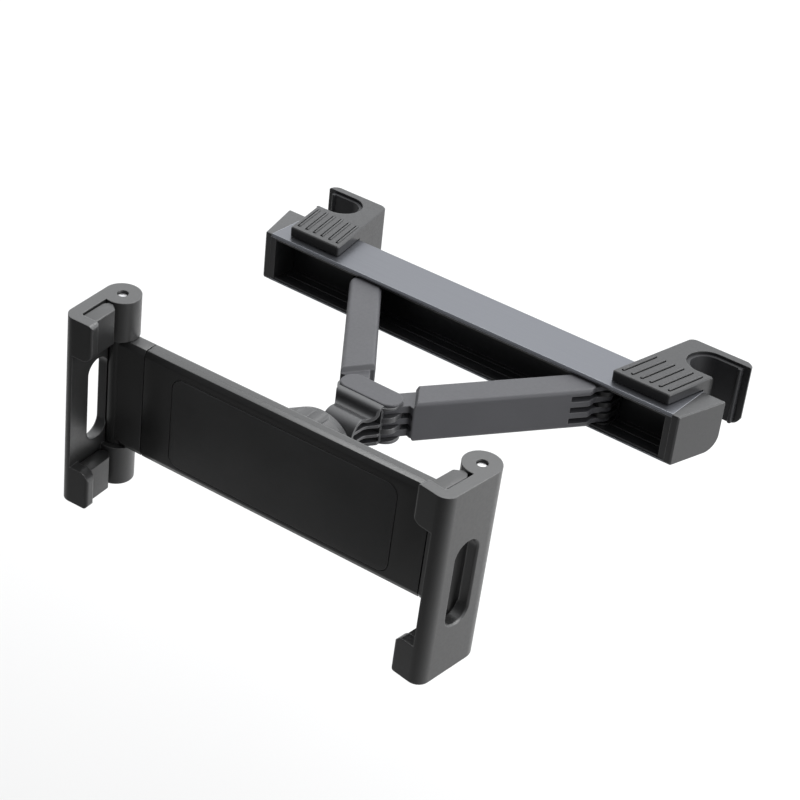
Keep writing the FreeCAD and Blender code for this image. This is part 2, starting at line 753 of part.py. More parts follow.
def block_pockets():
    """Cored-out side pockets, left apart by level ribs."""
    core = prism_x(block_profile(BLOCK_SKIN), -HUB_LENGTH, HUB_LENGTH)
    inner = BLOCK_HALF_FRONT - BLOCK_POCKET
    middle = box(-inner, inner, -40, 0, -20, 20)
    core = core.cut(middle)
    ribs = []
    for z in (BLOCK_RIB_Z, BLOCK_RIB_Z - BLOCK_RIB_PITCH):
        ribs.append(box(-20, 20, -40, 0, z - BLOCK_RIB / 2, z + BLOCK_RIB / 2))
    return carved(core, ribs)


def make_hub():
    """Plates and fins for both knuckles, joined by a front wall to the stud's block."""
    plan = hub_plan()
    parts = []
    for side in (-1, 1):
        low = min(side * HUB_PLATE_INNER, side * HUB_PLATE_Z)
        parts.append(prism_z(plan, low, low + HUB_PLATE_Z - HUB_PLATE_INNER))
    thin = SLOT_HEIGHT / 2 - FIN_CLEARANCE
    for z in fin_levels(HUB_SLOTS):
        parts.append(prism_z(plan, z - thin, z + thin))
    parts.append(box(-HUB_WEB, HUB_WEB, HUB_WALL_Y - 0.5, 2.0, -HUB_PLATE_Z, HUB_PLATE_Z))
    block = prism_x(block_profile(0), -HUB_LENGTH, HUB_LENGTH)
    block = block.common(prism_z(block_taper(), -HUB_PLATE_Z, BLOCK_TOP))
    block = block.cut(block_pockets())
    hub = parts[0].fuse(parts[1:] + [block])
    drills = [
        peg(side * HUB_PIN_SPAN / 2, 0, -20, 20, HUB_PIN_RADIUS)
        for side in (-1, 1)
    ]
    drills.append(Part.makeCylinder(STUD_RADIUS, STUD_SOCKET, V(0, BLOCK_FRONT - 2, -BALL_DROP), V(0, 1, 0)))
    return one_solid(carved(hub, drills))


def make_hub_cap():
    """Thin cover over both pins, with a soft rim."""
    half = HUB_LENGTH / 2
    plan = rectangle(-half, half, HUB_CAP_FRONT, HUB_CAP_BACK, HUB_CORNER)
    cap = prism_z(plan, HUB_PLATE_Z, HUB_CAP_TOP)
    rim = [e for e in cap.Edges if on_top(e, HUB_CAP_TOP)]
    return cap.makeFillet(HUB_CAP_EDGE, rim)


def make_hub_pin():
    """Pin between the two caps."""
    return peg(0, 0, -HUB_PLATE_Z, HUB_PLATE_Z, HUB_PIN_RADIUS)


# Ball joint

def make_ball_stud():
    """Ball with its neck and the collar that stands on the hub's block."""
    length = BALL_FORWARD + BLOCK_FRONT - 2 + STUD_SOCKET
    neck = Part.makeCylinder(STUD_RADIUS, length, V(0, 0, 0), V(0, 1, 0))
    ball = Part.makeSphere(BALL_RADIUS)
    start = BALL_FORWARD + BLOCK_FRONT - 1.7
    collar = Part.makeCone(STUD_RADIUS, STUD_RADIUS + 1.1, 1.6, V(0, start, 0), V(0, 1, 0))
    stud = ball.fuse([neck, collar])
    flat = box(-20, 20, -20, -BALL_RADIUS + 0.8, -20, 20)
    return one_solid(stud.cut(flat))


def seat_shell(inner, outer):
    """Thin ball seat, open to the back for the neck and at the front."""
    shell = Part.makeSphere(outer).cut(Part.makeSphere(inner))
    reach = 2 * outer
    wide = reach * math.tan(math.radians(SEAT_OPENING))
    mouth = Part.makeCone(0, wide, reach, V(0, 0, 0), V(0, 1, 0))
    hole = Part.makeCylinder(SEAT_FRONT_HOLE, reach, V(0, 0, 0), V(0, -1, 0))
    return carved(shell, [mouth, hole])


def revolve_about_y(points):
    """Solid of revolution about Y from (radius, y) points."""
    wire = Part.makePolygon([V(r, y, 0) for r, y in points + [points[0]]])
    return Part.Face(wire).revolve(V(0, 0, 0), V(0, 1, 0), 360)


def make_cup():
    """Flanged cup, about the ball's centre, that stands on the bar's back."""
    floor = BAR_BACK - BALL_BEHIND
    solid = revolve_about_y([
        (0, floor),
        (CUP_BASE_RADIUS, floor),
        (CUP_BASE_RADIUS, floor + CUP_BASE - 0.5),
        (CUP_BASE_RADIUS - 0.5, floor + CUP_BASE),
        (CUP_RADIUS, floor + CUP_BASE),
        (CUP_RADIUS, CUP_RIM - 0.6),
        (CUP_RADIUS - 0.6, CUP_RIM),
        (0, CUP_RIM),
    ])
    solid = solid.cut(Part.makeSphere(CUP_SPHERE))
    mouth = Part.makeCylinder(CUP_SPHERE, 10, V(0, 0, 0), V(0, 1, 0))
    drills = [
        Part.makeCylinder(1.3, 6, V(x, floor + CUP_BASE - 0.8, z), V(0, 1, 0))
        for x, z in flange_screw_spots()
    ]
    return carved(solid, [mouth] + drills)


def flange_screw_spots():
    """Places of the flange screws round the cup."""
    ring = (CUP_RADIUS + CUP_BASE_RADIUS) / 2
    return [
        (ring * math.cos(math.radians(45 + 90 * i)), ring * math.sin(math.radians(45 + 90 * i)))
        for i in range(4)
    ]


def make_flange_screws():
    """Pan heads that hold the cup's flange."""
    seat = BAR_BACK - BALL_BEHIND + CUP_BASE - 0.8
    heads = [
        Part.makeCylinder(1.25, 1.3, V(x, seat, z), V(0, 1, 0))
        for x, z in flange_screw_spots()
    ]
    return Part.makeCompound(heads)


def make_nut():
    """Lobed clamp nut with a flared mouth for the swinging neck."""
    front = NUT_FRONT - BALL_BEHIND
    rim = CUP_RIM + NUT_CLEARANCE
    body = revolve_about_y([
        (CUP_RADIUS + NUT_CLEARANCE, front),
        (NUT_RADIUS - 0.8, front),
        (NUT_RADIUS, front + 0.8),
        (NUT_RADIUS, 1.0),
        (NUT_RADIUS - NUT_TAPER, NUT_BACK - 0.8),
        (NUT_RADIUS - NUT_TAPER - 0.8, NUT_BACK),
        (NUT_FLARE, NUT_BACK),
        (NUT_MOUTH, NUT_LIP),
        (NUT_MOUTH, rim),
        (CUP_RADIUS + NUT_CLEARANCE, rim),
    ])
    body = body.cut(Part.makeSphere(CUP_SPHERE + NUT_CLEARANCE))
    scallops = []
    for i in range(NUT_LOBES):
        angle = 2 * math.pi * i / NUT_LOBES
        reach = NUT_RADIUS + NUT_SCALLOP - NUT_SCALLOP_DEPTH
        foot = V(reach * math.cos(angle), front - 1, reach * math.sin(angle))
        scallops.append(Part.makeCylinder(NUT_SCALLOP, 30, foot, V(0, 1, 0)))
    return carved(body, scallops)


def on_ball(shape):
    """Place a ball-centred shape as the cradle is turned."""
    return baked(shape, FreeCAD.Placement(BALL_CENTRE, CRADLE_TURN))


# Cradle, in its own frame

def screw_spots():
    """Places of the four screws in the back of the bar."""
    return [(x, z) for x in (-SCREW_SPREAD_X, SCREW_SPREAD_X) for z in (-SCREW_SPREAD_Z, SCREW_SPREAD_Z)]


def make_rear_housing():
    """Back half of the bar, hollow for the slides."""
    tall = BAR_HEIGHT / 2
    profile = rounded_face([
        (BAR_SPLIT, -tall, 0),
        (BAR_BACK, -tall, BAR_CORNER),
        (BAR_BACK, tall, BAR_CORNER),
        (BAR_SPLIT, tall, 0),
    ])
    shell = prism_x(profile, -BAR_HALF, BAR_HALF)
    half = SLIDE_HEIGHT / 2 + SLIDE_FIT
    room = box(-BAR_HALF - 1, BAR_HALF + 1, BAR_SPLIT - 1, SLIDE_BACK, -half, half)
    drills = [
        Part.makeCylinder(SCREW_RADIUS + 0.1, 5, V(x, BAR_BACK - SCREW_HEAD, z), V(0, 1, 0))
        for x, z in screw_spots()
    ]
    return carved(shell, [room] + drills)


def make_housing_screws():
    """Screw heads sunk in the bar's back."""
    heads = [
        Part.makeCylinder(SCREW_RADIUS, SCREW_HEAD - 0.2, V(x, BAR_BACK - SCREW_HEAD, z), V(0, 1, 0))
        for x, z in screw_spots()
    ]
    return Part.makeCompound(heads)


def make_front_cover():
    """Front half of the bar, with a bevelled rim and the pad's recess."""
    tall = BAR_HEIGHT / 2
    profile = rounded_face([
        (BAR_SPLIT, tall, 0),
        (BAR_FRONT + BAR_BEVEL, tall, 0),
        (BAR_FRONT, tall - BAR_BEVEL, 0),
        (BAR_FRONT, -tall + BAR_BEVEL, 0),
        (BAR_FRONT + BAR_BEVEL, -tall, 0),
        (BAR_SPLIT, -tall, 0),
    ])
    cover = prism_x(profile, -BAR_HALF, BAR_HALF)
    half = SLIDE_HEIGHT / 2 + SLIDE_FIT
    room = box(-BAR_HALF - 1, BAR_HALF + 1, SLIDE_FRONT, BAR_SPLIT + 1, -half, half)
    recess = prism_y(pad_face(0), BAR_FRONT - 1, BAR_FRONT + PAD_RECESS)
    return carved(cover, [room, recess])


def pad_face(inset):
    """Rounded outline of the front pad."""
    half = PAD_LENGTH / 2 - inset
    low = PAD_SHIFT - PAD_HEIGHT / 2 + inset
    return rectangle(-half, half, low, low + PAD_HEIGHT - 2 * inset, PAD_RADIUS - inset)


def make_cradle_pad():
    """Soft pad let into the cover."""
    pad = prism_y(pad_face(PAD_FIT), BAR_FRONT - 0.25, BAR_FRONT + PAD_RECESS)
    front = [e for e in pad.Edges if abs(e.BoundBox.YMax - BAR_FRONT + 0.25) < 1e-4]
    return pad.makeChamfer(0.2, front)


def make_right_slide():
    """Plate that runs in the bar, with the head that carries the jaw's pin."""
    tall = BAR_HEIGHT / 2
    half = SLIDE_HEIGHT / 2
    plate = box(
        SLIDE_INNER_X, BAR_HALF + 2, SLIDE_FRONT + SLIDE_FIT, SLIDE_BACK - SLIDE_FIT, -half, half,
    )
    head_x0 = BAR_HALF + HEAD_GAP
    profile = rounded_face([
        (BAR_FRONT, -tall, BAR_BEVEL),
        (BAR_BACK, -tall, BAR_CORNER),
        (BAR_BACK, tall, BAR_CORNER),
        (BAR_FRONT, tall, BAR_BEVEL),
    ])
    head = prism_x(profile, head_x0, JAW_PIN_X)
    nose = peg(JAW_PIN_X, 0, -tall, tall, MIDDLE_RADIUS)
    slide = one_solid(plate.fuse([head, nose]))
    return slide.cut(peg(JAW_PIN_X, 0, -60, 60, JAW_PIN_RADIUS + PIN_FIT))


# Jaws: own frame has the pin at the origin, outwards +X

def jaw_plan():
    """Plan of a claw: barrel, wall and lip."""
    inner = BARREL_RADIUS - JAW_WALL
    lip = -JAW_DEPTH + LIP_THICKNESS
    face = rounded_face([
        (BARREL_RADIUS, 0, 0),
        (inner, 0, 0),
        (inner, lip, 1.2),
        (-LIP_REACH, lip, LIP_END_RADIUS),
        (-LIP_REACH, -JAW_DEPTH, LIP_END_RADIUS),
        (BARREL_RADIUS, -JAW_DEPTH, JAW_CORNER),
    ])
    return face


def wall_plan():
    """Plan of the wall between the claws."""
    inner = BARREL_RADIUS - JAW_WALL
    return rounded_face([
        (BARREL_RADIUS, 0, 0),
        (inner, 0, 0),
        (inner, -JAW_DEPTH, 0),
        (BARREL_RADIUS, -JAW_DEPTH, JAW_CORNER),
    ])


def make_claw():
    """Upper claw, with its lip's end rounded above and below."""
    high = JAW_HEIGHT / 2
    low = high - CLAW_HEIGHT
    front = rounded_face([
        (-LIP_REACH, low, LIP_LOW_RADIUS),
        (BARREL_RADIUS, low, 0),
        (BARREL_RADIUS, high, 0),
        (-LIP_REACH, high, LIP_TOP_RADIUS),
    ])
    return prism_z(jaw_plan(), low, high).common(prism_y(front, -JAW_DEPTH - 1, 1))


def slot_outline(x, grow):
    """Outline of the wall's slot at depth x, widened all round."""
    half = JAW_SLOT_WIDTH / 2 + grow
    tall = JAW_SLOT_HEIGHT / 2 + grow
    face = rectangle(
        JAW_SLOT_Y - half, JAW_SLOT_Y + half, JAW_SLOT_Z - tall, JAW_SLOT_Z + tall, half * 0.99,
    )
    return baked(face, FreeCAD.Placement(V(x, 0, 0), FreeCAD.Rotation(V(1, 1, 1), 120)))


def make_jaw():
    """Wall with a long slot, two claws and two barrels."""
    tall = JAW_HEIGHT / 2
    bar = BAR_HEIGHT / 2 + BARREL_GAP
    parts = [prism_z(wall_plan(), -tall + 1, tall - 1)]
    claw = make_claw()
    parts += [claw, below(claw)]
    for low, high in ((-tall, -bar), (bar, tall)):
        parts.append(peg(0, 0, low, high, BARREL_RADIUS))
    skin = peg(0, 0, -bar - 1, bar + 1, BARREL_RADIUS)
    skin = skin.common(box(0, 20, 0, 20, -60, 60))
    parts.append(skin)
    jaw = one_solid(parts[0].fuse(parts[1:]))
    cavity = peg(0, 0, -bar, bar, MIDDLE_RADIUS + MIDDLE_CLEARANCE)
    slot = slot_outline(0, 0).extrude(V(20, 0, 0))
    bevel_x = BARREL_RADIUS - JAW_SLOT_BEVEL
    rims = [slot_outline(bevel_x, 0).OuterWire, slot_outline(BARREL_RADIUS, JAW_SLOT_BEVEL).OuterWire]
    bevel = Part.makeLoft(rims, True, True)
    pin = peg(0, 0, -tall - 1, tall + 1, JAW_PIN_RADIUS)
    return one_solid(carved(jaw, [cavity, slot, bevel, pin]))


def make_jaw_pin():
    """Steel pin, a little below the barrels' faces."""
    tall = JAW_HEIGHT / 2 - JAW_PIN_SET_IN
    return peg(0, 0, -tall, tall, JAW_PIN_RADIUS)


def make_claw_pad():
    """Soft pad of an upper claw, standing off the wall on a neck."""
    inner = BARREL_RADIUS - JAW_WALL
    front = -JAW_DEPTH + LIP_THICKNESS
    top = JAW_HEIGHT / 2 - CLAW_PAD_TOP
    low = JAW_HEIGHT / 2 - CLAW_HEIGHT + 0.6
    face = rectangle(-CLAW_PAD_INNER, inner - CLAW_PAD_NECK, front, CLAW_PAD_FROM, 0.8)
    pad = prism_z(face, low, top)
    neck = box(
        inner - CLAW_PAD_NECK - 1, inner, front + 2.5, CLAW_PAD_FROM - 1, low, top - CLAW_PAD_NECK_DROP,
    )
    return one_solid(pad.fuse(neck))


def set_jaw(shape, side, toe):
    """Turn a jaw's shape on its pin and place it on the right (1) or left (-1)."""
    turned = baked(shape, FreeCAD.Placement(V(0, 0, 0), FreeCAD.Rotation(V(0, 0, 1), -toe)))
    placed = moved(turned, JAW_PIN_X)
    if side < 0:
        placed = mirrored(placed)
    return in_cradle(placed)


def below(shape):
    """Lower twin of an upper shape."""
    return shape.mirror(V(0, 0, 0), V(0, 0, 1))


def write_rail():
    """Rail, its track, caps and spring stop."""
    keep("rail_shell", make_rail_shell())
    keep("rail_track", make_rail_track())
    cap = make_right_cap()
    keep("right_end_cap", cap)
    keep("left_end_cap", mirrored(cap))
    keep("spring_stop", make_spring_stop())


def write_hooks():
    """Both hooks with liners and springs, the left one a little drawn in."""
    for name, shape in (("hook", make_right_hook()), ("hook_liner", make_right_liner())):
        keep("right_" + name, shape)
        keep("left_" + name, moved(mirrored(shape), LEFT_HOOK_DRAWN_IN))
    keep("right_hook_spring", make_right_spring(0))
    keep("left_hook_spring", mirrored(make_right_spring(LEFT_HOOK_DRAWN_IN)))


def write_linkage():
    """Shoes, arms, pins, hub and caps."""
    for side, x in (("left_", HUB_X - SHOE_OFFSET), ("right_", HUB_X + SHOE_OFFSET)):
        keep(side + "shoe", moved(make_shoe(), x, PIVOT_Y))
        keep(side + "shoe_pin", moved(make_shoe_pin(), x, PIVOT_Y))
    keep("left_arm", make_left_arm())
    keep("right_arm", make_right_arm())
    keep("hub", moved(make_hub(), HUB_X, HUB_Y))
    cap = make_hub_cap()
    keep("hub_top_cap", moved(cap, HUB_X, HUB_Y))
    keep("hub_bottom_cap", moved(below(cap), HUB_X, HUB_Y))
    for side, x in (("left_", -HUB_PIN_SPAN / 2), ("right_", HUB_PIN_SPAN / 2)):
        keep(side + "hub_pin", moved(make_hub_pin(), HUB_X + x, HUB_Y))


def write_ball_joint():
    """Stud, seats and clamp nut."""
    keep("ball_stud", moved(make_ball_stud(), BALL_CENTRE.x, BALL_CENTRE.y, BALL_CENTRE.z))
    keep("pan_seat", on_ball(seat_shell(SEAT_ONE, SEAT_ONE + SEAT_THICKNESS)))
    keep("tilt_seat", on_ball(seat_shell(SEAT_TWO, SEAT_TWO + SEAT_THICKNESS)))
    keep("ball_nut", on_ball(make_nut()))


def write_cradle():
    """Bar, socket cup, slides and screws."""
    keep("cradle_socket", on_ball(make_cup()))
    keep("flange_screws", on_ball(make_flange_screws()))
    keep("cradle_rear_housing", in_cradle(make_rear_housing()))
    keep("housing_screws", in_cradle(make_housing_screws()))
    keep("cradle_front_cover", in_cradle(make_front_cover()))
    keep("cradle_pad", in_cradle(make_cradle_pad()))
    slide = make_right_slide()
    keep("right_jaw_slide", in_cradle(slide))
    keep("left_jaw_slide", in_cradle(mirrored(slide)))


def write_jaws():
    """Both jaws with pins and claw pads."""
    pad = make_claw_pad()
    for name, side, toe in (("right_", 1, RIGHT_JAW_TOE), ("left_", -1, LEFT_JAW_TOE)):
        keep(name + "jaw", set_jaw(make_jaw(), side, toe))
        keep(name + "jaw_pin", set_jaw(make_jaw_pin(), side, toe))
        keep(name + "upper_claw_pad", set_jaw(pad, side, toe))
        keep(name + "lower_claw_pad", set_jaw(below(pad), side, toe))


write_rail()
write_hooks()
write_linkage()
write_ball_joint()
write_cradle()
write_jaws()
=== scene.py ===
import logging
import math
from dataclasses import dataclass
from enum import Enum
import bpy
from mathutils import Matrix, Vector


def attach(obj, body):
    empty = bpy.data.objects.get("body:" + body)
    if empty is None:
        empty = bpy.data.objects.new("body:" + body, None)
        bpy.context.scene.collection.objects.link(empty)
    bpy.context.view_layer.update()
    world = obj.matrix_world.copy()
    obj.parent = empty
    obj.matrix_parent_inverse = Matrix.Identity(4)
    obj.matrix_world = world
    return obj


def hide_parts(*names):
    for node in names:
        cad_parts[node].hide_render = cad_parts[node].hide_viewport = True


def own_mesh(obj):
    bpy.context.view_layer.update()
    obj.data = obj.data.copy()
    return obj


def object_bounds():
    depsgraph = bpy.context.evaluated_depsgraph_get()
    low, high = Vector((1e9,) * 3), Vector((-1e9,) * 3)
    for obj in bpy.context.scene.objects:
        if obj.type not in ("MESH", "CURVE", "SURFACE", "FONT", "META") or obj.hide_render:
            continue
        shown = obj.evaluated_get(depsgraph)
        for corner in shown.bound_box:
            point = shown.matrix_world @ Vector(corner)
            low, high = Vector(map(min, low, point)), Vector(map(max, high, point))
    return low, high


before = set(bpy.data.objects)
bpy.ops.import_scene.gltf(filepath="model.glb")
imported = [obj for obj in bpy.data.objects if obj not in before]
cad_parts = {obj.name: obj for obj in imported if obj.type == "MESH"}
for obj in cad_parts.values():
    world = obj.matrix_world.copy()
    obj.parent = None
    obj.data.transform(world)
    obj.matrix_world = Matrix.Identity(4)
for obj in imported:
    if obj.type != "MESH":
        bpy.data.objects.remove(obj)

from types import MappingProxyType
from typing import Iterable, Mapping, Sequence, Union

import bmesh
import bpy
from mathutils import Matrix, Vector

LOG = logging.getLogger("tablet_mount")
CAD_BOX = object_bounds()
MM = 0.001
SHARP_ANGLE = 32.0

# Sockets of the colour mix node
MIX_FACTOR, MIX_FIRST, MIX_SECOND, MIX_RESULT = 0, 6, 7, 2
# Sockets of the random number node when it draws a float
DICE_MAX, DICE_VALUE = 3, 1

Colour = tuple[float, float, float]
Node = bpy.types.Node
Socket = bpy.types.NodeSocket
Paint = Union[Colour, Socket]
Given = Mapping[Union[str, int], object]
Spot = tuple[float, float, float]
Point = tuple[float, float]
Outline = list[Point]
MIRROR = Matrix.Scale(-1, 4, (1, 0, 0))


class Axis(Enum):
    """Axis of a frame."""

    X = 0
    Y = 1
    Z = 2


class Work(Enum):
    """What a tool does to a piece."""

    CUT = "DIFFERENCE"
    JOIN = "UNION"


class Maths(Enum):
    """How values are taken together."""

    PRODUCT = "MULTIPLY"
    LARGEST = "MAXIMUM"


class Side(Enum):
    """Side of the part, by the prefix of its pieces' names."""

    LEFT = "left_"
    RIGHT = "right_"

    @property
    def sign(self) -> int:
        """Direction of the side along X."""
        return -1 if self is Side.LEFT else 1


def toned(colour: Colour, share: float) -> Colour:
    """Colour made darker or lighter by a share."""
    return tuple(c * share for c in colour)


def grey(level: float) -> Colour:
    """Neutral colour of a level."""
    return (level, level, level)


class Nodes:
    """A small builder for a node tree."""

    def __init__(self, tree: bpy.types.NodeTree) -> None:
        """Start with an empty tree.

        Args:
            tree: The tree.
        """
        self.tree = tree
        tree.nodes.clear()

    def add(self, kind: str, given: Given = MappingProxyType({}), **settings: object) -> Node:
        """Add a node, set its properties and feed its inputs.

        Args:
            kind: Node type.
            given: Value or source socket of each input, by its name or number.
            settings: Property values by name.

        Returns:
            The new node.
        """
        node = self.tree.nodes.new(kind)
        for key, value in settings.items():
            setattr(node, key, value)
        for key, value in given.items():
            if isinstance(value, Socket):
                self.tree.links.new(value, node.inputs[key])
            else:
                node.inputs[key].default_value = value
        return node


class Graph(Nodes):
    """Nodes of a material."""

    def __init__(self, name: str) -> None:
        """Start an empty material.

        Args:
            name: Name of the material.
        """
        self.material = bpy.data.materials.new(name)
        self.material.use_nodes = True
        super().__init__(self.material.node_tree)

    def finish(self, surface: Socket) -> bpy.types.Material:
        """Show a surface and give the material back."""
        self.add("ShaderNodeOutputMaterial", {"Surface": surface})
        return self.material

    def place(self, stretch: Sequence[float] = (1, 1, 1)) -> Socket:
        """Object coordinates, stretched along the axes.

        Args:
            stretch: Scale along X, Y and Z.

        Returns:
            The vector socket.
        """
        source = self.add("ShaderNodeTexCoord").outputs["Object"]
        mapping = self.add("ShaderNodeMapping", {"Vector": source, "Scale": stretch})
        return mapping.outputs["Vector"]

    def noise(
        self, scale: float, detail: float = 3.0, stretch: Sequence[float] = (1, 1, 1)
    ) -> Socket:
        """Noise over the piece.

        Args:
            scale: Repeats per metre.
            detail: Octaves.
            stretch: Scale along X, Y and Z.

        Returns:
            The factor socket.
        """
        given = {"Vector": self.place(stretch), "Scale": scale, "Detail": detail}
        return self.add("ShaderNodeTexNoise", given).outputs["Fac"]

    def span(
        self, source: Socket, low: float, high: float, start: float = 0.3, end: float = 0.7
    ) -> Socket:
        """Map a factor from one range to another.

        Args:
            source: Socket to map.
            low: Value at the start.
            high: Value at the end.
            start: Source value that gives the low end.
            end: Source value that gives the high end.

        Returns:
            The mapped socket.
        """
        given = {"Value": source, "From Min": start, "From Max": end, "To Min": low, "To Max": high}
        return self.add("ShaderNodeMapRange", given).outputs["Result"]

    def mix(self, factor: Socket, first: Paint, second: Paint) -> Socket:
        """Mix two colours by a factor.

        Args:
            factor: Socket from 0 to 1.
            first: Colour or colour socket at 0.
            second: Colour or colour socket at 1.

        Returns:
            The colour socket.
        """
        given = {MIX_FACTOR: factor}
        for key, paint in ((MIX_FIRST, first), (MIX_SECOND, second)):
            given[key] = paint if isinstance(paint, Socket) else (*paint, 1)
        return self.add("ShaderNodeMix", given, data_type="RGBA").outputs[MIX_RESULT]

    def combine(self, how: Maths, *sources: Union[Socket, float]) -> Socket:
        """Several values as one.

        Args:
            how: How they are taken together.
            sources: Values or their sockets.

        Returns:
            The value socket.
        """
        total = sources[0]
        for source in sources[1:]:
            node = self.add("ShaderNodeMath", {0: total, 1: source}, operation=how.value)
            total = node.outputs[0]
        return total

    def softened_normal(self, radius: float, samples: int = 6) -> Socket:
        """Surface normal rounded over the edges.

        Args:
            radius: Radius of the rounding in metres.
            samples: Rays for each point.

        Returns:
            The normal socket.
        """
        return self.add("ShaderNodeBevel", {"Radius": radius}, samples=samples).outputs["Normal"]

    def outer_edges(self, radius: float, start: float = 0.985, end: float = 0.86) -> Socket:
        """Mask that is 1 on edges.

        Args:
            radius: Width of an edge in metres.
            start: Cosine of the normal's turn where the mask starts.
            end: Cosine of the turn where it is full.

        Returns:
            The mask socket.
        """
        flat = self.add("ShaderNodeNewGeometry").outputs["Normal"]
        given = {0: self.softened_normal(radius), 1: flat}
        dot = self.add("ShaderNodeVectorMath", given, operation="DOT_PRODUCT")
        return self.span(dot.outputs["Value"], 1.0, 0.0, end, start)

    def relief(self, height: Socket, distance: float, strength: float, edge: float) -> Socket:
        """Bump over softened edges.

        Args:
            height: Height socket.
            distance: Depth of the relief in metres.
            strength: Strength of the bump.
            edge: Radius of the softened edges in metres.

        Returns:
            The normal socket.
        """
        return self.add("ShaderNodeBump", {
            "Strength": strength, "Distance": distance, "Height": height,
            "Normal": self.softened_normal(edge),
        }).outputs["Normal"]

    def mottled(self, cloud: Socket, colour: Colour, shares: Point) -> Socket:
        """Colour that drifts between two shares of itself.

        Args:
            cloud: Noise that it follows.
            colour: The colour.
            shares: Least and greatest share.

        Returns:
            The colour socket.
        """
        return self.mix(self.span(cloud, 0.0, 1.0), *(toned(colour, share) for share in shares))

    def gloss(self, grain: Socket, roughness: float, spread: Point) -> Socket:
        """Roughness that drifts with a grain.

        Args:
            grain: Noise that it follows.
            roughness: The plain roughness.
            spread: Steps down and up from it.

        Returns:
            The value socket.
        """
        down, up = spread
        return self.span(grain, roughness - down, roughness + up)

    def shade(self, given: Given) -> Socket:
        """Surface shader with the given inputs."""
        return self.add("ShaderNodeBsdfPrincipled", given).outputs["BSDF"]


@dataclass(frozen=True)
class MouldedPlastic:
    """Matte plastic with a fine eroded grain and a painted highlight along its edges."""

    name: str
    colour: Colour
    # Colour of the painted highlight on the edges.
    highlight_colour: Colour
    roughness: float = 0.46
    specular: float = 0.5
    grain: float = 0.35
    edge: float = 0.0006
    cloud_scale: float = 28.0
    # Noise scale that breaks up the painted edge highlight.
    highlight_scale: float = 160.0
    speck_scale: float = 900.0
    grain_scale: float = 3600.0
    grain_depth: float = 0.00005
    # Width of the painted edge highlight as a share of the softened edge, and its least strength in
    # the noise.
    highlight_edge: float = 1.2
    least_highlight: float = 0.35
    shares: Point = (0.93, 1.06)
    spread: Point = (0.05, 0.06)

    def paint(self, graph: Graph) -> Socket:
        """Clouded colour with a painted highlight on the edges, broken up by noise.

        Args:
            graph: The material's nodes.

        Returns:
            The colour socket.
        """
        tint = graph.mottled(graph.noise(self.cloud_scale), self.colour, self.shares)
        # Painted highlight on the edges, patchy by noise.
        highlight = graph.combine(
            Maths.PRODUCT, graph.outer_edges(self.edge * self.highlight_edge),
            graph.span(graph.noise(self.highlight_scale, 4.0), self.least_highlight, 1.0),
        )
        return graph.mix(highlight, tint, self.highlight_colour)

    def material(self) -> bpy.types.Material:
        """Build the finish."""
        graph = Graph(self.name)
        speck, grain = graph.noise(self.speck_scale, 2.0), graph.noise(self.grain_scale, 2.0)
        return graph.finish(graph.shade({
            "Base Color": self.paint(graph),
            "Specular IOR Level": self.specular,
            "Roughness": graph.gloss(speck, self.roughness, self.spread),
            "Normal": graph.relief(grain, self.grain_depth, self.grain, self.edge),
        }))


@dataclass(frozen=True)
class Anodised:
    """Satin anodised extrusion with faint drawn lines and a painted highlight on its edges."""

    name: str
    colour: Colour
    # Colour of the painted highlight on the edges.
    highlight_colour: Colour
    roughness: float
    edge: float = 0.0005
    along: Axis = Axis.X
    cloud_scale: float = 9.0
    line_scale: float = 1600.0
    line_stretch: float = 0.02
    line_depth: float = 0.00002
    line_strength: float = 0.25
    metallic: float = 0.9
    shares: Point = (0.96, 1.04)
    spread: Point = (0.05, 0.05)

    def stretch(self) -> tuple[float, ...]:
        """Scale of the drawn lines along X, Y and Z."""
        return tuple(self.line_stretch if axis is self.along else 1.0 for axis in Axis)

    def material(self) -> bpy.types.Material:
        """Build the finish."""
        graph = Graph(self.name)
        lines = graph.noise(self.line_scale, 3.0, self.stretch())
        tint = graph.mottled(graph.noise(self.cloud_scale, 2.0), self.colour, self.shares)
        relief = graph.relief(lines, self.line_depth, self.line_strength, self.edge / 2)
        return graph.finish(graph.shade({
            # Base colour lightened on the edges by a painted highlight.
            "Base Color": graph.mix(graph.outer_edges(self.edge), tint, self.highlight_colour),
            "Metallic": self.metallic,
            "Roughness": graph.gloss(lines, self.roughness, self.spread),
            "Normal": relief,
        }))


@dataclass(frozen=True)
class TurnedSteel:
    """Bright steel with fine turning marks."""

    name: str
    colour: Colour
    roughness: float
    edge: float = 0.0002
    cloud_scale: float = 120.0
    mark_scale: float = 2400.0
    mark_depth: float = 0.00002
    mark_strength: float = 0.3
    shares: Point = (0.9, 1.0)
    spread: Point = (0.06, 0.08)

    def material(self) -> bpy.types.Material:
        """Build the finish."""
        graph = Graph(self.name)
        marks = graph.noise(self.mark_scale, 2.0)
        return graph.finish(graph.shade({
            "Base Color": graph.mottled(graph.noise(self.cloud_scale), self.colour, self.shares),
            "Metallic": 1.0,
            "Roughness": graph.gloss(marks, self.roughness, self.spread),
            "Normal": graph.relief(marks, self.mark_depth, self.mark_strength, self.edge),
        }))


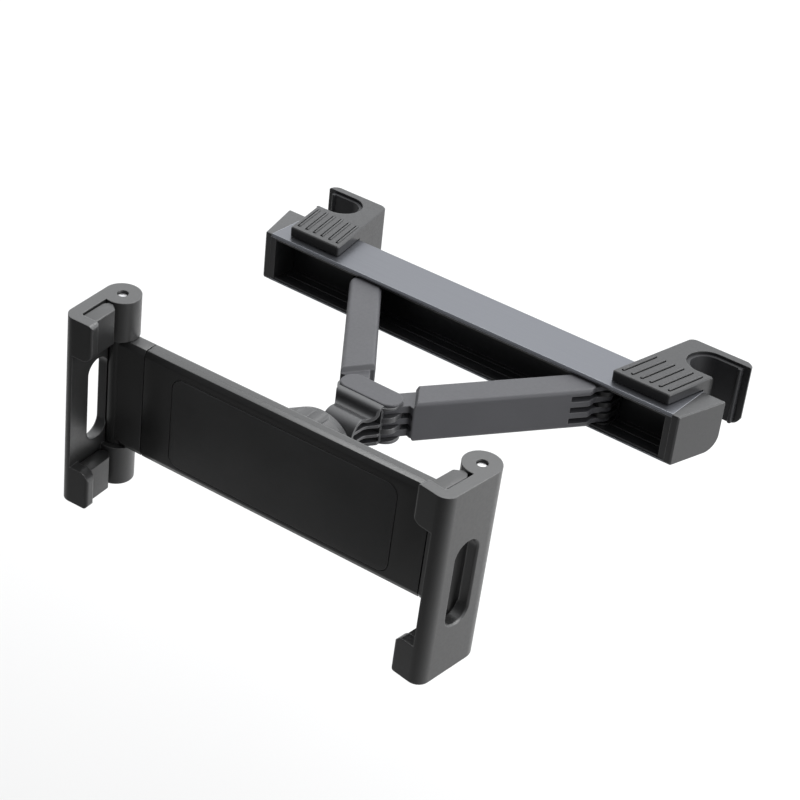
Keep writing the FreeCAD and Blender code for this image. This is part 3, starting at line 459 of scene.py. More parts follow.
@dataclass(frozen=True)
class SoftRubber:
    """Soft pad material with a fine dull grain."""

    name: str
    colour: Colour
    roughness: float
    edge: float = 0.0004
    cloud_scale: float = 40.0
    grain_scale: float = 2600.0
    grain_depth: float = 0.00006
    grain_strength: float = 0.5
    specular: float = 0.35
    shares: Point = (0.9, 1.12)
    spread: Point = (0.05, 0.07)

    def material(self) -> bpy.types.Material:
        """Build the finish."""
        graph = Graph(self.name)
        cloud, grain = graph.noise(self.cloud_scale, 4.0), graph.noise(self.grain_scale)
        return graph.finish(graph.shade({
            "Base Color": graph.mottled(cloud, self.colour, self.shares),
            "Specular IOR Level": self.specular,
            "Roughness": graph.gloss(grain, self.roughness, self.spread),
            "Normal": graph.relief(grain, self.grain_depth, self.grain_strength, self.edge),
        }))


Finish = Union[MouldedPlastic, Anodised, TurnedSteel, SoftRubber]

# The second colour of each plastic and of the rail is the painted highlight on its edges.
JAW_PLASTIC = MouldedPlastic(
    "jaw_plastic", grey(0.022), grey(0.06), roughness=0.34, specular=0.9, grain=0.2
)
BAR_PLASTIC = MouldedPlastic(
    "bar_plastic", grey(0.018), grey(0.03), roughness=0.33, specular=0.8, grain=0.1, edge=0.0002
)
GRIP_PLASTIC = MouldedPlastic(
    "grip_plastic", grey(0.018), grey(0.05), roughness=0.36, specular=0.8, grain=0.3
)
HOOK_PLASTIC = MouldedPlastic(
    "hook_plastic", (0.017, 0.017, 0.018), (0.05, 0.05, 0.052), roughness=0.36, specular=0.55
)
CAP_PLASTIC = MouldedPlastic(
    "cap_plastic", (0.020, 0.020, 0.021), (0.12, 0.12, 0.122),
    roughness=0.34, specular=0.75, grain=0.2, edge=0.0004,
)
LINK_PLASTIC = MouldedPlastic(
    "link_plastic", (0.066, 0.066, 0.072), (0.10, 0.10, 0.105),
    roughness=0.44, specular=0.35, grain=0.25, edge=0.0008,
)
HUB_PLASTIC = MouldedPlastic(
    "hub_plastic", (0.038, 0.038, 0.040), (0.10, 0.10, 0.105),
    roughness=0.33, specular=0.75, grain=0.2, edge=0.0004,
)
NUT_PLASTIC = MouldedPlastic(
    "nut_plastic", (0.022, 0.022, 0.023), (0.08, 0.08, 0.082),
    roughness=0.34, specular=0.8, grain=0.2,
)
TRACK_PLASTIC = MouldedPlastic(
    "track_plastic", (0.018, 0.018, 0.020), grey(0.04),
    roughness=0.33, specular=0.9, grain=0.1, edge=0.0003,
)
SHOE_PLASTIC = MouldedPlastic(
    "shoe_plastic", (0.012, 0.012, 0.013), grey(0.04), roughness=0.36
)
SEAT_PLASTIC = MouldedPlastic(
    "seat_plastic", (0.62, 0.61, 0.57), (0.7, 0.69, 0.65), roughness=0.4
)
RAIL_METAL = Anodised("anodised_rail", (0.148, 0.153, 0.168), (0.40, 0.41, 0.44), 0.34)
PIN_STEEL = TurnedSteel("pin_steel", (0.82, 0.82, 0.83), 0.35)
WIRE_STEEL = TurnedSteel("wire_steel", (0.5, 0.5, 0.52), 0.34)
PAD_RUBBER = SoftRubber("pad_rubber", grey(0.046), 0.50)
LINER_RUBBER = SoftRubber("liner_rubber", (0.024, 0.024, 0.026), 0.46)

_BUILT: dict[str, bpy.types.Material] = {}


def made(finish: Finish) -> bpy.types.Material:
    """Material of a finish, built once."""
    if finish.name not in _BUILT:
        _BUILT[finish.name] = finish.material()
    return _BUILT[finish.name]


def coat(finish: Finish, nodes: Iterable[str]) -> None:
    """Give carried-over nodes a finish.

    Args:
        finish: The finish.
        nodes: Names of the nodes.
    """
    material = made(finish)
    for name in nodes:
        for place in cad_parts[name].material_slots:
            place.material = material
        LOG.info("%s: %s", name, finish.name)


def both(*names: str) -> list[str]:
    """Left and right names of paired pieces."""
    return [side.value + name for name in names for side in Side]


def oblong(first: Point, last: Point) -> Outline:
    """Rectangle between two opposite corners."""
    return [first, (last[0], first[1]), last, (first[0], last[1])]


def rounded(corners: Sequence[tuple[float, float, float]], steps: int = 8) -> Outline:
    """Outline with rounded corners.

    Args:
        corners: (u, v, radius) of each corner in mm.
        steps: Divisions of each rounding.

    Returns:
        The outline's points.
    """
    points = []
    for i, (u, v, radius) in enumerate(corners):
        corner = Vector((u, v))
        if radius <= 0:
            points.append((u, v))
            continue
        before = (Vector(corners[i - 1][:2]) - corner).normalized()
        after = (Vector(corners[(i + 1) % len(corners)][:2]) - corner).normalized()
        half = before.angle(after) / 2
        centre = corner + (before + after).normalized() * (radius / math.sin(half))
        start = corner + before * (radius / math.tan(half)) - centre
        end = corner + after * (radius / math.tan(half)) - centre
        for k in range(steps + 1):
            turn = start.slerp(end, k / steps)
            points.append(tuple(centre + turn.normalized() * radius))
    return points


def prism(outline: Outline, low: float, high: float, along: Axis) -> bmesh.types.BMesh:
    """Extrude an outline along an axis.

    Args:
        outline: Points in mm, as (y, z), (x, z) or (x, y).
        low: Lower end in mm.
        high: Upper end in mm.
        along: Axis of the extrusion.

    Returns:
        The closed solid in metres.
    """
    solid = bmesh.new()
    rings = []
    for level in (low, high):
        ring = []
        for point in outline:
            place = list(point)
            place.insert(along.value, level)
            ring.append(solid.verts.new(Vector(place) * MM))
        rings.append(ring)
        solid.faces.new(ring)
    count = len(outline)
    for i in range(count):
        k = (i + 1) % count
        solid.faces.new((rings[0][i], rings[0][k], rings[1][k], rings[1][i]))
    bmesh.ops.recalc_face_normals(solid, faces=solid.faces)
    return solid


def turned(profile: Outline, steps: int = 48) -> bmesh.types.BMesh:
    """Revolve a (radius, height) profile about Z.

    Args:
        profile: Points in mm from the lower pole to the upper one.
        steps: Divisions of the turn.

    Returns:
        The closed solid in metres.
    """
    solid = bmesh.new()
    line = [solid.verts.new(Vector((r, 0, z)) * MM) for r, z in profile]
    edges = [solid.edges.new(pair) for pair in zip(line, line[1:])]
    bmesh.ops.spin(
        solid, geom=line + edges, cent=(0, 0, 0), axis=(0, 0, 1),
        angle=math.tau, steps=steps, use_duplicate=False,
    )
    bmesh.ops.remove_doubles(solid, verts=solid.verts, dist=1e-7)
    bmesh.ops.recalc_face_normals(solid, faces=solid.faces)
    return solid


def shaped(solid: bmesh.types.BMesh, name: str) -> bpy.types.Object:
    """Object made from a bmesh.

    Args:
        solid: The bmesh, which is used up.
        name: Name of the object.

    Returns:
        The object.
    """
    mesh = bpy.data.meshes.new(name)
    solid.to_mesh(mesh)
    solid.free()
    return bpy.data.objects.new(name, mesh)


def settled(piece: bpy.types.Object) -> bpy.types.Object:
    """Turn an object's modifiers into its mesh.

    Args:
        piece: Object with modifiers.

    Returns:
        The same object with a plain mesh.
    """
    scene = bpy.context.scene
    scene.collection.objects.link(piece)
    graph = bpy.context.evaluated_depsgraph_get()
    mesh = bpy.data.meshes.new_from_object(piece.evaluated_get(graph))
    piece.modifiers.clear()
    piece.data = mesh
    scene.collection.objects.unlink(piece)
    return piece


def worked(
    piece: bpy.types.Object, solid: bmesh.types.BMesh, work: Work = Work.CUT
) -> bpy.types.Object:
    """Cut a piece with a solid, or join the solid to it.

    Args:
        piece: Object to work on.
        solid: The cutter or addition, which is used up.
        work: What to do with it.

    Returns:
        The piece.
    """
    tool = shaped(solid, "tool")
    bpy.context.scene.collection.objects.link(tool)
    modifier = piece.modifiers.new("work", "BOOLEAN")
    modifier.operation = work.value
    modifier.solver = "EXACT"
    modifier.object = tool
    settled(piece)
    bpy.data.objects.remove(tool)
    return piece


def softened(
    piece: bpy.types.Object, width: float, segments: int = 3, angle: float = 30.0
) -> bpy.types.Object:
    """Round a piece's edges.

    Args:
        piece: Object to round.
        width: Width in mm.
        segments: Divisions of the rounding.
        angle: Least angle of an edge in degrees.

    Returns:
        The piece.
    """
    modifier = piece.modifiers.new("soften", "BEVEL")
    modifier.width = width * MM
    modifier.segments = segments
    modifier.limit_method = "ANGLE"
    modifier.angle_limit = math.radians(angle)
    modifier.use_clamp_overlap = True
    return settled(piece)


def fitted(
    piece: bpy.types.Object, place: Matrix, body: str, slot: str, finish: Finish, *nodes: str
) -> bpy.types.Object:
    """Put a piece in the frame, on its body and in its finish.

    Args:
        piece: Object with a plain mesh.
        place: Its place in the frame.
        body: Body that it rides on.
        slot: Material slot of the record. Not used.
        finish: Its finish.
        nodes: Carried-over nodes that it stands for.

    Returns:
        The piece.
    """
    piece.data.transform(place)
    if place.determinant() < 0:
        piece.data.flip_normals()
    piece.data.materials.clear()
    piece.data.materials.append(made(finish))
    piece.data.shade_smooth()
    piece.data.set_sharp_from_angle(angle=math.radians(SHARP_ANGLE))
    bpy.context.scene.collection.objects.link(piece)
    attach(piece, body)
    if nodes:
        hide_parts(*nodes)
    LOG.info("%s: %s on %s", piece.name, finish.name, body)
    return piece


class Recipe(Nodes):
    """A Geometry Nodes tree with named inputs, run once on a piece."""

    def __init__(self, name: str, **inputs: str) -> None:
        """Start a tree.

        Args:
            name: Name of the tree.
            inputs: Kind of each input by name, Float or Int.
        """
        super().__init__(bpy.data.node_groups.new(name, "GeometryNodeTree"))
        face = self.tree.interface
        face.new_socket("Start", in_out="INPUT", socket_type="NodeSocketGeometry")
        self.sockets = {
            key: face.new_socket(key, in_out="INPUT", socket_type="NodeSocket" + kind)
            for key, kind in inputs.items()
        }
        face.new_socket("Result", in_out="OUTPUT", socket_type="NodeSocketGeometry")
        self.given = self.add("NodeGroupInput").outputs

    def along(self, axis: Axis, source: Socket) -> Socket:
        """Vector with a value on one axis."""
        return self.add("ShaderNodeCombineXYZ", {axis.name: source}).outputs[0]

    def repeated(self, thing: bpy.types.Object, points: Socket, turn: Socket) -> Socket:
        """Copies of an object on points, each turned about Z.

        Args:
            thing: Object to repeat.
            points: Socket of the points.
            turn: Socket of the turn in radians.

        Returns:
            The geometry socket.
        """
        source = self.add("GeometryNodeObjectInfo", {"Object": thing})
        return self.add("GeometryNodeInstanceOnPoints", {
            "Points": points, "Instance": source.outputs["Geometry"],
            "Rotation": self.along(Axis.Z, turn),
        }).outputs[0]

    def close(self, geometry: Socket, finish: Finish) -> None:
        """Make the geometry plain, dress it and end the tree.

        Args:
            geometry: Socket of the geometry.
            finish: Its finish.
        """
        plain = self.add("GeometryNodeRealizeInstances", {"Geometry": geometry}).outputs[0]
        given = {"Geometry": plain, "Material": made(finish)}
        dressed = self.add("GeometryNodeSetMaterial", given).outputs[0]
        self.add("NodeGroupOutput", {"Result": dressed})

    def run(self, name: str, points: Sequence[Spot], **values: float) -> bpy.types.Object:
        """Make a piece with the tree.

        Args:
            name: Name of the piece.
            points: Points in metres that the tree starts from.
            values: Value of each input by name.

        Returns:
            The piece with a plain mesh.
        """
        start = bpy.data.meshes.new(name)
        start.from_pydata(points, [], [])
        piece = bpy.data.objects.new(name, start)
        modifier = piece.modifiers.new("recipe", "NODES")
        modifier.node_group = self.tree
        for key, value in values.items():
            modifier[self.sockets[key].identifier] = value
        return settled(piece)


@dataclass(frozen=True)
class CrossScrews:
    """Domed screw heads with a cross recess, set out by Geometry Nodes; sizes in mm."""

    name: str
    spots: Outline
    level: float
    radius: float
    rise: float
    wall_share: float = 0.55
    foot_shares: Point = (0.96, 0.4)
    dome_steps: int = 5
    dome_share: float = 0.97
    arm_share: float = 0.62
    thick_share: float = 0.13
    recess_share: float = 0.45
    steps: int = 32
    seed: int = 4

    def profile(self) -> Outline:
        """Half section of a head, from its foot to its top."""
        wall = self.rise * self.wall_share
        inset, lip = self.foot_shares
        points = [(0, 0), (self.radius * inset, 0), (self.radius, wall * lip), (self.radius, wall)]
        for k in range(1, self.dome_steps):
            turn = math.radians(90 * k / self.dome_steps)
            points.append((
                self.radius * math.cos(turn * self.dome_share),
                wall + (self.rise - wall) * math.sin(turn),
            ))
        return points + [(0, self.rise)]

    def head(self) -> bpy.types.Object:
        """One head about the origin, its top towards +Z."""
        head = shaped(turned(self.profile(), self.steps), self.name + "_head")
        arm, thick = self.radius * self.arm_share, self.radius * self.thick_share
        for u, v in ((arm, thick), (thick, arm)):
            recess = self.rise * self.recess_share
            head = worked(head, prism(oblong((-u, -v), (u, v)), recess, self.rise + 1, Axis.Z))
        return head

    def recipe(self, head: bpy.types.Object) -> Recipe:
        """Tree that puts a head on every point, lifted and turned at random.

        Args:
            head: The head to repeat.

        Returns:
            The tree.
        """
        recipe = Recipe(self.name, Lift="Float", Turn="Float", Seed="Int")
        given = recipe.given
        raised = recipe.add("GeometryNodeSetPosition", {
            "Geometry": given["Start"], "Offset": recipe.along(Axis.Z, given["Lift"]),
        })
        dice = recipe.add(
            "FunctionNodeRandomValue", {DICE_MAX: given["Turn"], "Seed": given["Seed"]},
            data_type="FLOAT",
        )
        heads = recipe.repeated(head, raised.outputs[0], dice.outputs[DICE_VALUE])
        recipe.close(heads, PIN_STEEL)
        return recipe

    def build(self, place: Matrix, body: str, node: str) -> None:
        """Make the screws as one plain mesh.

        Args:
            place: Frame whose XZ plane holds the spots and whose +Y is their outside.
            body: Body that they ride on.
            node: Carried-over node that they stand for.
        """
        head = self.head()
        piece = self.recipe(head).run(
            self.name, [(x * MM, -z * MM, 0) for x, z in self.spots],
            Lift=self.level * MM, Turn=math.pi / 2, Seed=self.seed,
        )
        bpy.data.objects.remove(head)
        outwards = Matrix.Rotation(-math.pi / 2, 4, "X")
        fitted(piece, place @ outwards, body, "steel", PIN_STEEL, node)


@dataclass
class Rail:
    """Slotted rail with its track and caps."""

    shell: Finish = RAIL_METAL
    track: Finish = TRACK_PLASTIC
    caps: Finish = CAP_PLASTIC

    def dress(self) -> None:
        """Give the rail's pieces their finishes."""
        coat(self.shell, ["rail_shell"])
        coat(self.track, ["rail_track", "spring_stop"])
        coat(self.caps, both("end_cap"))


@dataclass
class Hooks:
    """Pole hooks with thumb ribs, liners and springs; sizes in mm for the right hook."""

    top: float = 15.2
    splay: float = 11.5
    rib_count: int = 6
    rib_pitch: float = 4.05
    first_x: float = 70.154
    first_y: float = -29.8
    rib_sides: Point = (-0.70, 0.12)
    rib_ends: Point = (0.62, 18.95)
    rib_corner: float = 0.3
    rib_edge: float = 0.16
    rib_depth: float = 0.9
    rib_rise: float = 0.22
    left_drawn_in: float = 1.9
    travel: float = 25.0
    spring_start: float = 3.1
    spring_end: float = 67.5
    spring_y: float = -17.8
    spring_radius: float = 2.7
    spring_wire: float = 0.4
    spring_turns: float = 16.0
    coil_steps: int = 24
    wire_steps: int = 10

    def drawn_in(self, side: Side) -> float:
        """How far a hook stands in from its end of the slide."""
        return self.left_drawn_in if side is Side.LEFT else 0.0

    def rib(self) -> bpy.types.Object:
        """One rib, its groove's front end at the origin."""
        first, last = zip(self.rib_sides, self.rib_ends)
        plan = rounded([(x, y, self.rib_corner) for x, y in oblong(first, last)], 4)
        solid = prism(plan, -self.rib_depth, self.rib_rise, Axis.Z)
        return softened(shaped(solid, "rib"), self.rib_edge, 2, 50)

    def rib_recipe(self, rib: bpy.types.Object) -> Recipe:
        """Tree that lays ribs side by side.

        Args:
            rib: The rib to repeat.

        Returns:
            The tree.
        """
        recipe = Recipe("thumb_ribs", Count="Int", Pitch="Float", Splay="Float")
        given = recipe.given
        row = recipe.add("GeometryNodeMeshLine", {
            "Count": given["Count"], "Offset": recipe.along(Axis.X, given["Pitch"]),
        })
        ribs = recipe.repeated(rib, row.outputs[0], given["Splay"])
        recipe.close(ribs, HOOK_PLASTIC)
        return recipe

    def ribs(self, side: Side) -> None:
        """Thumb ribs in the grooves of a hook.

        Args:
            side: Side of the hook.
        """
        rib = self.rib()
        piece = self.rib_recipe(rib).run(
            side.value + "thumb_ribs", [], Count=self.rib_count, Pitch=self.rib_pitch * MM,
            Splay=-math.radians(self.splay),
        )
        bpy.data.objects.remove(rib)
        place = Matrix.Translation(Vector((self.first_x, self.first_y, self.top)) * MM)
        if side is Side.LEFT:
            place = Matrix.Translation((self.drawn_in(side) * MM, 0, 0)) @ MIRROR @ place
        fitted(piece, place, side.value + "hook_slider", "black_plastic", HOOK_PLASTIC)

    def spring_recipe(self) -> Recipe:
        """Tree that winds round wire into a spring."""
        recipe = Recipe("hook_spring", Turns="Float", Radius="Float", Wire="Float", Length="Float")
        given = recipe.given
        coil = recipe.add("GeometryNodeCurveSpiral", {
            "Resolution": self.coil_steps, "Rotations": given["Turns"],
            "Start Radius": given["Radius"], "End Radius": given["Radius"],
            "Height": given["Length"],
        })
        section = recipe.add("GeometryNodeCurvePrimitiveCircle", {
            "Resolution": self.wire_steps, "Radius": given["Wire"],
        })
        tube = recipe.add("GeometryNodeCurveToMesh", {
            "Curve": coil.outputs[0], "Profile Curve": section.outputs[0], "Fill Caps": True,
        })
        recipe.close(tube.outputs[0], WIRE_STEEL)
        return recipe

    def spring(self, side: Side) -> None:
        """Spring between the middle stop and a hook's foot, which shortens as the hook comes in.

        Args:
            side: Side of the hook.
        """
        length = self.spring_end - self.spring_start - self.drawn_in(side)
        piece = self.spring_recipe().run(
            side.value + "coil_spring", [], Turns=self.spring_turns,
            Radius=self.spring_radius * MM, Wire=self.spring_wire * MM,
            Length=(length - 2 * self.spring_wire) * MM,
        )
        near = side.sign * (self.spring_start + self.spring_wire)
        place = (
            Matrix.Translation(Vector((near, self.spring_y, 0)) * MM)
            @ Matrix.Rotation(side.sign * math.pi / 2, 4, "Y")
        )
        fitted(
            piece, place, "rail", "spring_steel", WIRE_STEEL, side.value + "hook_spring"
        )
        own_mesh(piece)

    def dress(self) -> None:
        """Build the ribs and springs and give the hooks' pieces their finishes."""
        for side in Side:
            self.ribs(side)
            self.spring(side)
        coat(HOOK_PLASTIC, both("hook"))
        coat(LINER_RUBBER, both("hook_liner"))


@dataclass
class Linkage:
    """Shoes, arms and hub."""

    shoes: Finish = SHOE_PLASTIC
    pins: Finish = PIN_STEEL
    arms: Finish = LINK_PLASTIC
    hub: Finish = HUB_PLASTIC

    def dress(self) -> None:
        """Give the linkage's pieces their finishes."""
        coat(self.shoes, both("shoe"))
        coat(self.pins, both("shoe_pin", "hub_pin"))
        coat(self.arms, both("arm") + ["hub_top_cap", "hub_bottom_cap"])
        coat(self.hub, ["hub"])


@dataclass
class BallJoint:
    """Stud, seats, cup and clamp nut."""

    body: Finish = NUT_PLASTIC
    seats: Finish = SEAT_PLASTIC

    def dress(self) -> None:
        """Give the joint's pieces their finishes."""
        coat(self.body, ["ball_stud", "ball_nut", "cradle_socket"])
        coat(self.seats, ["pan_seat", "tilt_seat"])


@dataclass
class Cradle:
    """Bar with its slides, jaws and pads, in the frame of the bar's middle; sizes in mm."""

    ball: Spot = (6.2, -135.45, -1.9)
    ball_behind: float = 15.0
    pan: float = 4.5
    tilt: float = 2.0
    roll: float = 2.45
    half: float = 61.2
    tall: float = 23.4
    front: float = -4.0
    split: float = -0.2
    back: float = 3.6
    band_deep: float = 1.1
    band_tall: float = 2.2
    cover_back: float = 1.0
    cover_edge: float = 0.22
    room: Point = (-2.2, 19.6)
    clear: float = 30.0
    pad_half: float = 48.4
    pad_low: float = -20.1
    pad_high: float = 18.9
    pad_corner: float = 5.0
    pad_gap: float = 0.22
    pad_proud: float = 0.3
    pad_depth: float = 0.9
    pad_edge: float = 0.42
    head_start: float = 61.55
    head_gap: float = 1.2
    head_corner: float = 1.6
    head_edge: float = 0.3
    plate_half: float = 19.5
    plate_faces: Point = (-2.1, 1.7)
    plate_ends: Point = (12.0, 64.0)
    pin_x: float = 75.5
    pin_half: float = 39.0
    pin_radius: float = 2.1
    pin_chamfer: float = 0.4
    bore_radius: float = 2.15
    nose_radius: float = 4.6
    toe_left: float = 1.0
    toe_right: float = 10.0
    grip_levels: Point = (25.1, 39.6)
    grip_edge: float = 0.35
    screw_x: float = 52.0
    screw_z: float = 19.0
    screw_ring: float = 13.75

    def place(self) -> Matrix:
        """Place of the bar's own frame."""
        turn = (
            Matrix.Rotation(math.radians(self.pan), 4, "Z")
            @ Matrix.Rotation(math.radians(self.tilt), 4, "X")
            @ Matrix.Rotation(math.radians(self.roll), 4, "Y")
        )
        origin = Vector(self.ball) - turn.to_3x3() @ Vector((0, self.ball_behind, 0))
        return Matrix.Translation(origin * MM) @ turn

    def jaw_place(self, side: Side) -> Matrix:
        """Place of a jaw's own frame.

        Args:
            side: Side of the jaw.

        Returns:
            The matrix, mirrored on the left.
        """
        toe = self.toe_left if side is Side.LEFT else self.toe_right
        turn = Matrix.Rotation(math.radians(-toe), 4, "Z")
        place = Matrix.Translation((self.pin_x * MM, 0, 0)) @ turn
        if side is Side.LEFT:
            place = MIRROR @ place
        return self.place() @ place

    def banded(self, back: float, corner: float) -> Outline:
        """Side profile with the sloping bands along the front edges.

        Args:
            back: Depth of the back face.
            corner: Radius of the back corners.

        Returns:
            The outline as (y, z).
        """
        deep = self.front + self.band_deep
        low = self.tall - self.band_tall
        return rounded([
            (back, -self.tall, corner), (deep, -self.tall, 0), (self.front, -low, 0),
            (self.front, low, 0), (deep, self.tall, 0), (back, self.tall, corner),
        ])

    def pad_outline(self, inset: float) -> Outline:
        """Outline of the pad's recess, drawn in by an inset."""
        first = (inset - self.pad_half, self.pad_low + inset)
        last = (self.pad_half - inset, self.pad_high - inset)
        return rounded([(x, z, self.pad_corner - inset) for x, z in oblong(first, last)])

    def cut_through(
        self, piece: bpy.types.Object, first: Point, last: Point
    ) -> bpy.types.Object:
        """Cut a straight channel along the whole bar.

        Args:
            piece: Object to cut.
            first: One corner of the channel as (y, z).
            last: The opposite corner.

        Returns:
            The piece.
        """
        end = self.half + 1
        return worked(piece, prism(oblong(first, last), -end, end, Axis.X))

    def cover(self) -> None:
        """Front half of the bar, rounded before its back is cut off at the split."""
        solid = prism(self.banded(self.cover_back, 0), -self.half, self.half, Axis.X)
        piece = softened(shaped(solid, "bar_front"), self.cover_edge, 2, 20)
        piece = self.cut_through(
            piece, (self.split, -self.clear), (self.cover_back + 2, self.clear)
        )
        floor, reach = self.room
        piece = self.cut_through(piece, (floor, -reach), (self.cover_back, reach))
        recess = prism(
            self.pad_outline(0), self.front - 1, self.front + self.pad_depth, Axis.Y
        )
        piece = worked(piece, recess)
        fitted(
            piece, self.place(), "cradle", "black_plastic", BAR_PLASTIC, "cradle_front_cover"
        )

    def pad(self) -> None:
        """Soft pad with a rounded edge."""
        solid = prism(
            self.pad_outline(self.pad_gap), self.front - self.pad_proud,
            self.front + self.pad_depth, Axis.Y,
        )
        piece = softened(shaped(solid, "bar_pad"), self.pad_edge, 3, 60)
        fitted(piece, self.place(), "cradle", "soft_pad", PAD_RUBBER, "cradle_pad")

    def barrel(self, radius: float, half: float) -> bmesh.types.BMesh:
        """Upright rod about the jaw's pin.

        Args:
            radius: Radius in mm.
            half: Half of its height in mm.

        Returns:
            The closed solid in metres.
        """
        solid = turned(oblong((0, -half), (radius, half)))
        solid.transform(Matrix.Translation((self.pin_x * MM, 0, 0)))
        return solid

    def slide(self, side: Side) -> None:
        """Plate that runs in the bar, with the head round the jaw's pin.

        Args:
            side: Side of the slide.
        """
        solid = prism(
            self.banded(self.back, self.head_corner), self.head_start,
            self.pin_x - self.head_gap, Axis.X,
        )
        head = softened(shaped(solid, side.value + "slide_head"), self.head_edge, 2, 20)
        inner, outer = self.plate_faces
        faces = oblong((inner, -self.plate_half), (outer, self.plate_half))
        head = worked(head, prism(faces, *self.plate_ends, Axis.X), Work.JOIN)
        head = worked(head, self.barrel(self.nose_radius, self.tall), Work.JOIN)
        head = worked(head, self.barrel(self.bore_radius, 2 * self.clear))
        place = self.place() @ MIRROR if side is Side.LEFT else self.place()
        fitted(
            head, place, side.value + "extension", "black_plastic", BAR_PLASTIC,
            side.value + "jaw_slide",
        )

    def pin(self, side: Side) -> None:
        """Steel pin, chamfered and set well into the jaw.

        Args:
            side: Side of the pin.
        """
        end, radius, chamfer = self.pin_half, self.pin_radius, self.pin_chamfer
        profile = [
            (0, -end), (radius - chamfer, -end), (radius, -end + chamfer),
            (radius, end - chamfer), (radius - chamfer, end), (0, end),
        ]
        piece = shaped(turned(profile, 40), side.value + "hinge_pin")
        fitted(
            piece, self.jaw_place(side), side.value + "claw", "steel", PIN_STEEL,
            side.value + "jaw_pin",
        )

    def claw_pads(self, side: Side) -> None:
        """Soft blocks behind the lips of a jaw.

        Args:
            side: Side of the jaw.
        """
        plan = rounded([
            (-4.3, -20.4, 0.6), (1.65, -20.4, 0.3), (1.65, -9.2, 1.2), (0.2, -7.3, 0.5),
            (-1.6, -7.3, 0.6), (-4.3, -9.6, 1.2),
        ], 5)
        near, far = self.grip_levels
        for row, low, high in (("upper_", near, far), ("lower_", -far, -near)):
            name = side.value + row
            solid = prism(plan, low, high, Axis.Z)
            piece = softened(shaped(solid, name + "grip"), self.grip_edge, 3, 40)
            fitted(
                piece, self.jaw_place(side), side.value + "claw", "soft_pad", GRIP_PLASTIC,
                name + "claw_pad",
            )

    def screws(self) -> None:
        """Screws of the bar's back and of the socket's flange."""
        x, z = self.screw_x, self.screw_z
        bar = [(-x, -z), (-x, z), (x, -z), (x, z)]
        CrossScrews("bar_screws", bar, level=2.4, radius=2.2, rise=1.0).build(
            self.place(), "cradle", "housing_screws"
        )
        reach = self.screw_ring * math.sqrt(0.5)
        ring = [(-reach, -reach), (-reach, reach), (reach, -reach), (reach, reach)]
        socket = self.place() @ Matrix.Translation((0, self.ball_behind * MM, 0))
        CrossScrews("socket_screws", ring, level=-10.8, radius=1.25, rise=1.3).build(
            socket, "cradle", "flange_screws"
        )

    def dress(self) -> None:
        """Build the cradle's pieces and give the others their finishes."""
        self.cover()
        self.pad()
        for side in Side:
            self.slide(side)
            self.pin(side)
            self.claw_pads(side)
        coat(BAR_PLASTIC, ["cradle_rear_housing"])
        coat(JAW_PLASTIC, both("jaw"))
        self.screws()


@dataclass(frozen=True)
class Viewpoint:
    """Camera of the photograph, about a point on the rail."""

    azimuth: float = 33.869
    elevation: float = 31.453
    roll: float = 6.494
    lens: float = 90.0
    sensor: float = 36.0
    clip: Point = (0.01, 20.0)
    target: Spot = (0.0, -0.0248, 0.0)
    distance: float = 0.79712
    shift_right: float = -0.0296
    shift_up: float = -0.02696

    def axes(self) -> tuple[Vector, Vector, Vector]:
        """Right, up and back directions of the camera."""
        azimuth, elevation, roll = (
            math.radians(a) for a in (self.azimuth, self.elevation, self.roll)
        )
        back = Vector((
            math.sin(azimuth) * math.cos(elevation),
            -math.cos(azimuth) * math.cos(elevation),
            math.sin(elevation),
        ))
        right = Vector((math.cos(azimuth), math.sin(azimuth), 0))
        up = back.cross(right)
        return (
            right * math.cos(roll) + up * math.sin(roll),
            up * math.cos(roll) - right * math.sin(roll),
            back,
        )

    def build(self) -> None:
        """Create the scene's camera."""
        right, up, back = self.axes()
        data = bpy.data.cameras.new("camera")
        data.lens = self.lens
        data.sensor_width = self.sensor
        data.clip_start, data.clip_end = self.clip
        camera = bpy.data.objects.new("camera", data)
        place = (
            Vector(self.target) + back * self.distance
            + right * self.shift_right + up * self.shift_up
        )
        turn = Matrix((right, up, back)).transposed().to_4x4()
        camera.matrix_world = Matrix.Translation(place) @ turn
        bpy.context.scene.collection.objects.link(camera)
        bpy.context.scene.camera = camera


@dataclass(frozen=True)
class Glow:
    """A soft bright stretch of the studio's walls."""

    towards: Spot
    start: float
    end: float
    strength: float


@dataclass(frozen=True)
class Lamp:
    """Square area lamp; place and width in metres, power in watts."""

    name: str
    place: Spot
    power: float
    width: float

    def build(self, target: Sequence[float]) -> None:
        """Create the lamp.

        Args:
            target: Point that it faces.
        """
        data = bpy.data.lights.new(self.name, "AREA")
        data.energy = self.power
        data.size = self.width
        lamp = bpy.data.objects.new(self.name, data)
        aim = Vector(target) - Vector(self.place)
        lamp.location = self.place
        lamp.rotation_mode = "QUATERNION"
        lamp.rotation_quaternion = aim.to_track_quat("-Z", "Y")
        bpy.context.scene.collection.objects.link(lamp)


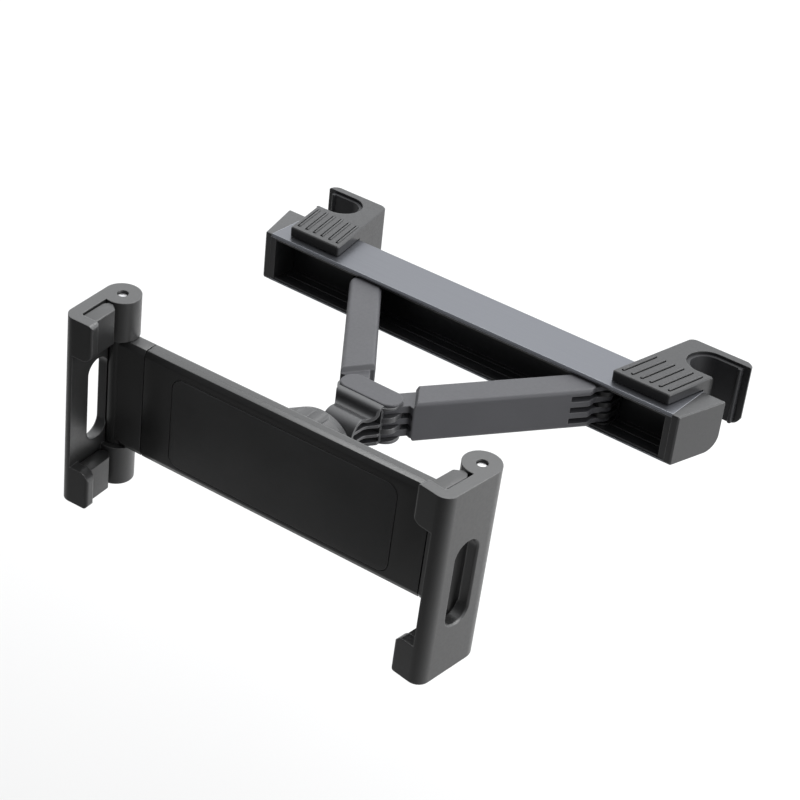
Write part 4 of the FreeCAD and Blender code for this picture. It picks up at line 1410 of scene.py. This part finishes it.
@dataclass
class Studio:
    """Floor white to the camera with painted light and shade for other rays, soft lamps and walls
    with two soft glows.
    """

    floor_drop: float = 0.16
    floor_size: float = 8.0
    floor_roughness: float = 0.9
    floor_specular: float = 0.1
    # Painted shade in front of the part fading to painted light behind it, carried by the floor's
    # colour.
    painted_shade_from: float = -0.42
    painted_light_from: float = 0.10
    floor_painted_shade: float = 0.09
    floor_painted_light: float = 0.92
    camera_white: float = 0.75
    ambient: float = 0.12
    wall_tint: Colour = (0.97, 0.985, 1.0)
    glows: tuple[Glow, ...] = (
        Glow((-0.35, 0.75, 0.60), -0.05, 0.95, 1.6),
        Glow((0.95, 0.30, 0.10), 0.15, 1.0, 1.2),
    )
    lamps: tuple[Lamp, ...] = (
        Lamp("overhead", (0.05, 0.30, 1.2), 9.0, 0.9),
        Lamp("right_side", (1.1, 0.15, 0.40), 6.0, 0.7),
    )
    lit: Spot = (0.0, -0.08, 0.0)

    def floor_material(self) -> bpy.types.Material:
        """Floor with painted light at the back and painted shade in front, seen by glossy rays as
        emission, but white to the camera.
        """
        graph = Graph("floor")
        parts = graph.add("ShaderNodeSeparateXYZ", {0: graph.place()})
        fade = graph.span(parts.outputs["Y"], 0.0, 1.0, self.painted_shade_from, self.painted_light_from)
        # Painted shade in front, painted light at the back.
        paint = graph.mix(fade, grey(self.floor_painted_shade), grey(self.floor_painted_light))
        path = graph.add("ShaderNodeLightPath").outputs
        shown = graph.mix(path["Is Camera Ray"], paint, grey(1))
        seen = graph.combine(
            Maths.LARGEST, path["Is Camera Ray"], path["Is Glossy Ray"],
            path["Is Transmission Ray"],
        )
        matt = graph.shade({
            "Base Color": paint, "Roughness": self.floor_roughness,
            "Specular IOR Level": self.floor_specular,
        })
        return graph.finish(graph.add("ShaderNodeMixShader", {
            0: graph.combine(Maths.PRODUCT, seen, self.camera_white), 1: matt,
            2: graph.add("ShaderNodeEmission", {"Color": shown}).outputs["Emission"],
        }).outputs[0])

    def floor(self) -> None:
        """Create the floor below the part."""
        low = CAD_BOX[0].z - self.floor_drop
        half = self.floor_size / 2
        corners = [(x, y, low) for x, y in oblong((-half, -half), (half, half))]
        mesh = bpy.data.meshes.new("floor")
        mesh.from_pydata(corners, [], [(0, 1, 2, 3)])
        mesh.materials.append(self.floor_material())
        plane = bpy.data.objects.new("floor", mesh)
        bpy.context.scene.collection.objects.link(plane)

    def wall_light(self, graph: Nodes) -> Socket:
        """Brightness of the walls by direction.

        Args:
            graph: The world's nodes.

        Returns:
            The strength socket.
        """
        direction = graph.add("ShaderNodeTexCoord").outputs["Generated"]
        total = self.ambient
        for glow in self.glows:
            dot = graph.add(
                "ShaderNodeVectorMath", {0: direction, 1: Vector(glow.towards).normalized()},
                operation="DOT_PRODUCT",
            )
            ramp = graph.add(
                "ShaderNodeMapRange", {
                    "Value": dot.outputs["Value"], "From Min": glow.start, "From Max": glow.end,
                    "To Min": 0.0, "To Max": glow.strength,
                }, interpolation_type="SMOOTHSTEP",
            )
            given = {0: total, 1: ramp.outputs["Result"]}
            total = graph.add("ShaderNodeMath", given, operation="ADD").outputs[0]
        return total

    def world(self) -> None:
        """Pale walls round the part, plain white to the camera."""
        world = bpy.data.worlds.new("studio")
        world.use_nodes = True
        graph = Nodes(world.node_tree)
        walls = graph.add("ShaderNodeBackground", {
            "Color": (*self.wall_tint, 1), "Strength": self.wall_light(graph),
        })
        white = graph.add("ShaderNodeBackground", {"Color": (1, 1, 1, 1)})
        path = graph.add("ShaderNodeLightPath")
        mix = graph.add("ShaderNodeMixShader", {
            0: path.outputs["Is Camera Ray"], 1: walls.outputs[0], 2: white.outputs[0],
        })
        graph.add("ShaderNodeOutputWorld", {"Surface": mix.outputs[0]})
        bpy.context.scene.world = world

    def build(self) -> None:
        """Create the whole studio."""
        self.floor()
        self.world()
        for lamp in self.lamps:
            lamp.build(self.lit)
        bpy.context.scene.view_settings.view_transform = "Standard"


def main() -> None:
    """Dress the part and set the stage."""
    logging.basicConfig(level=logging.INFO)
    for part in (Rail(), Hooks(), Linkage(), BallJoint(), Cradle()):
        part.dress()
        LOG.info("%s dressed", type(part).__name__)
    Studio().build()
    Viewpoint().build()


if __name__ == "__main__":
    main()
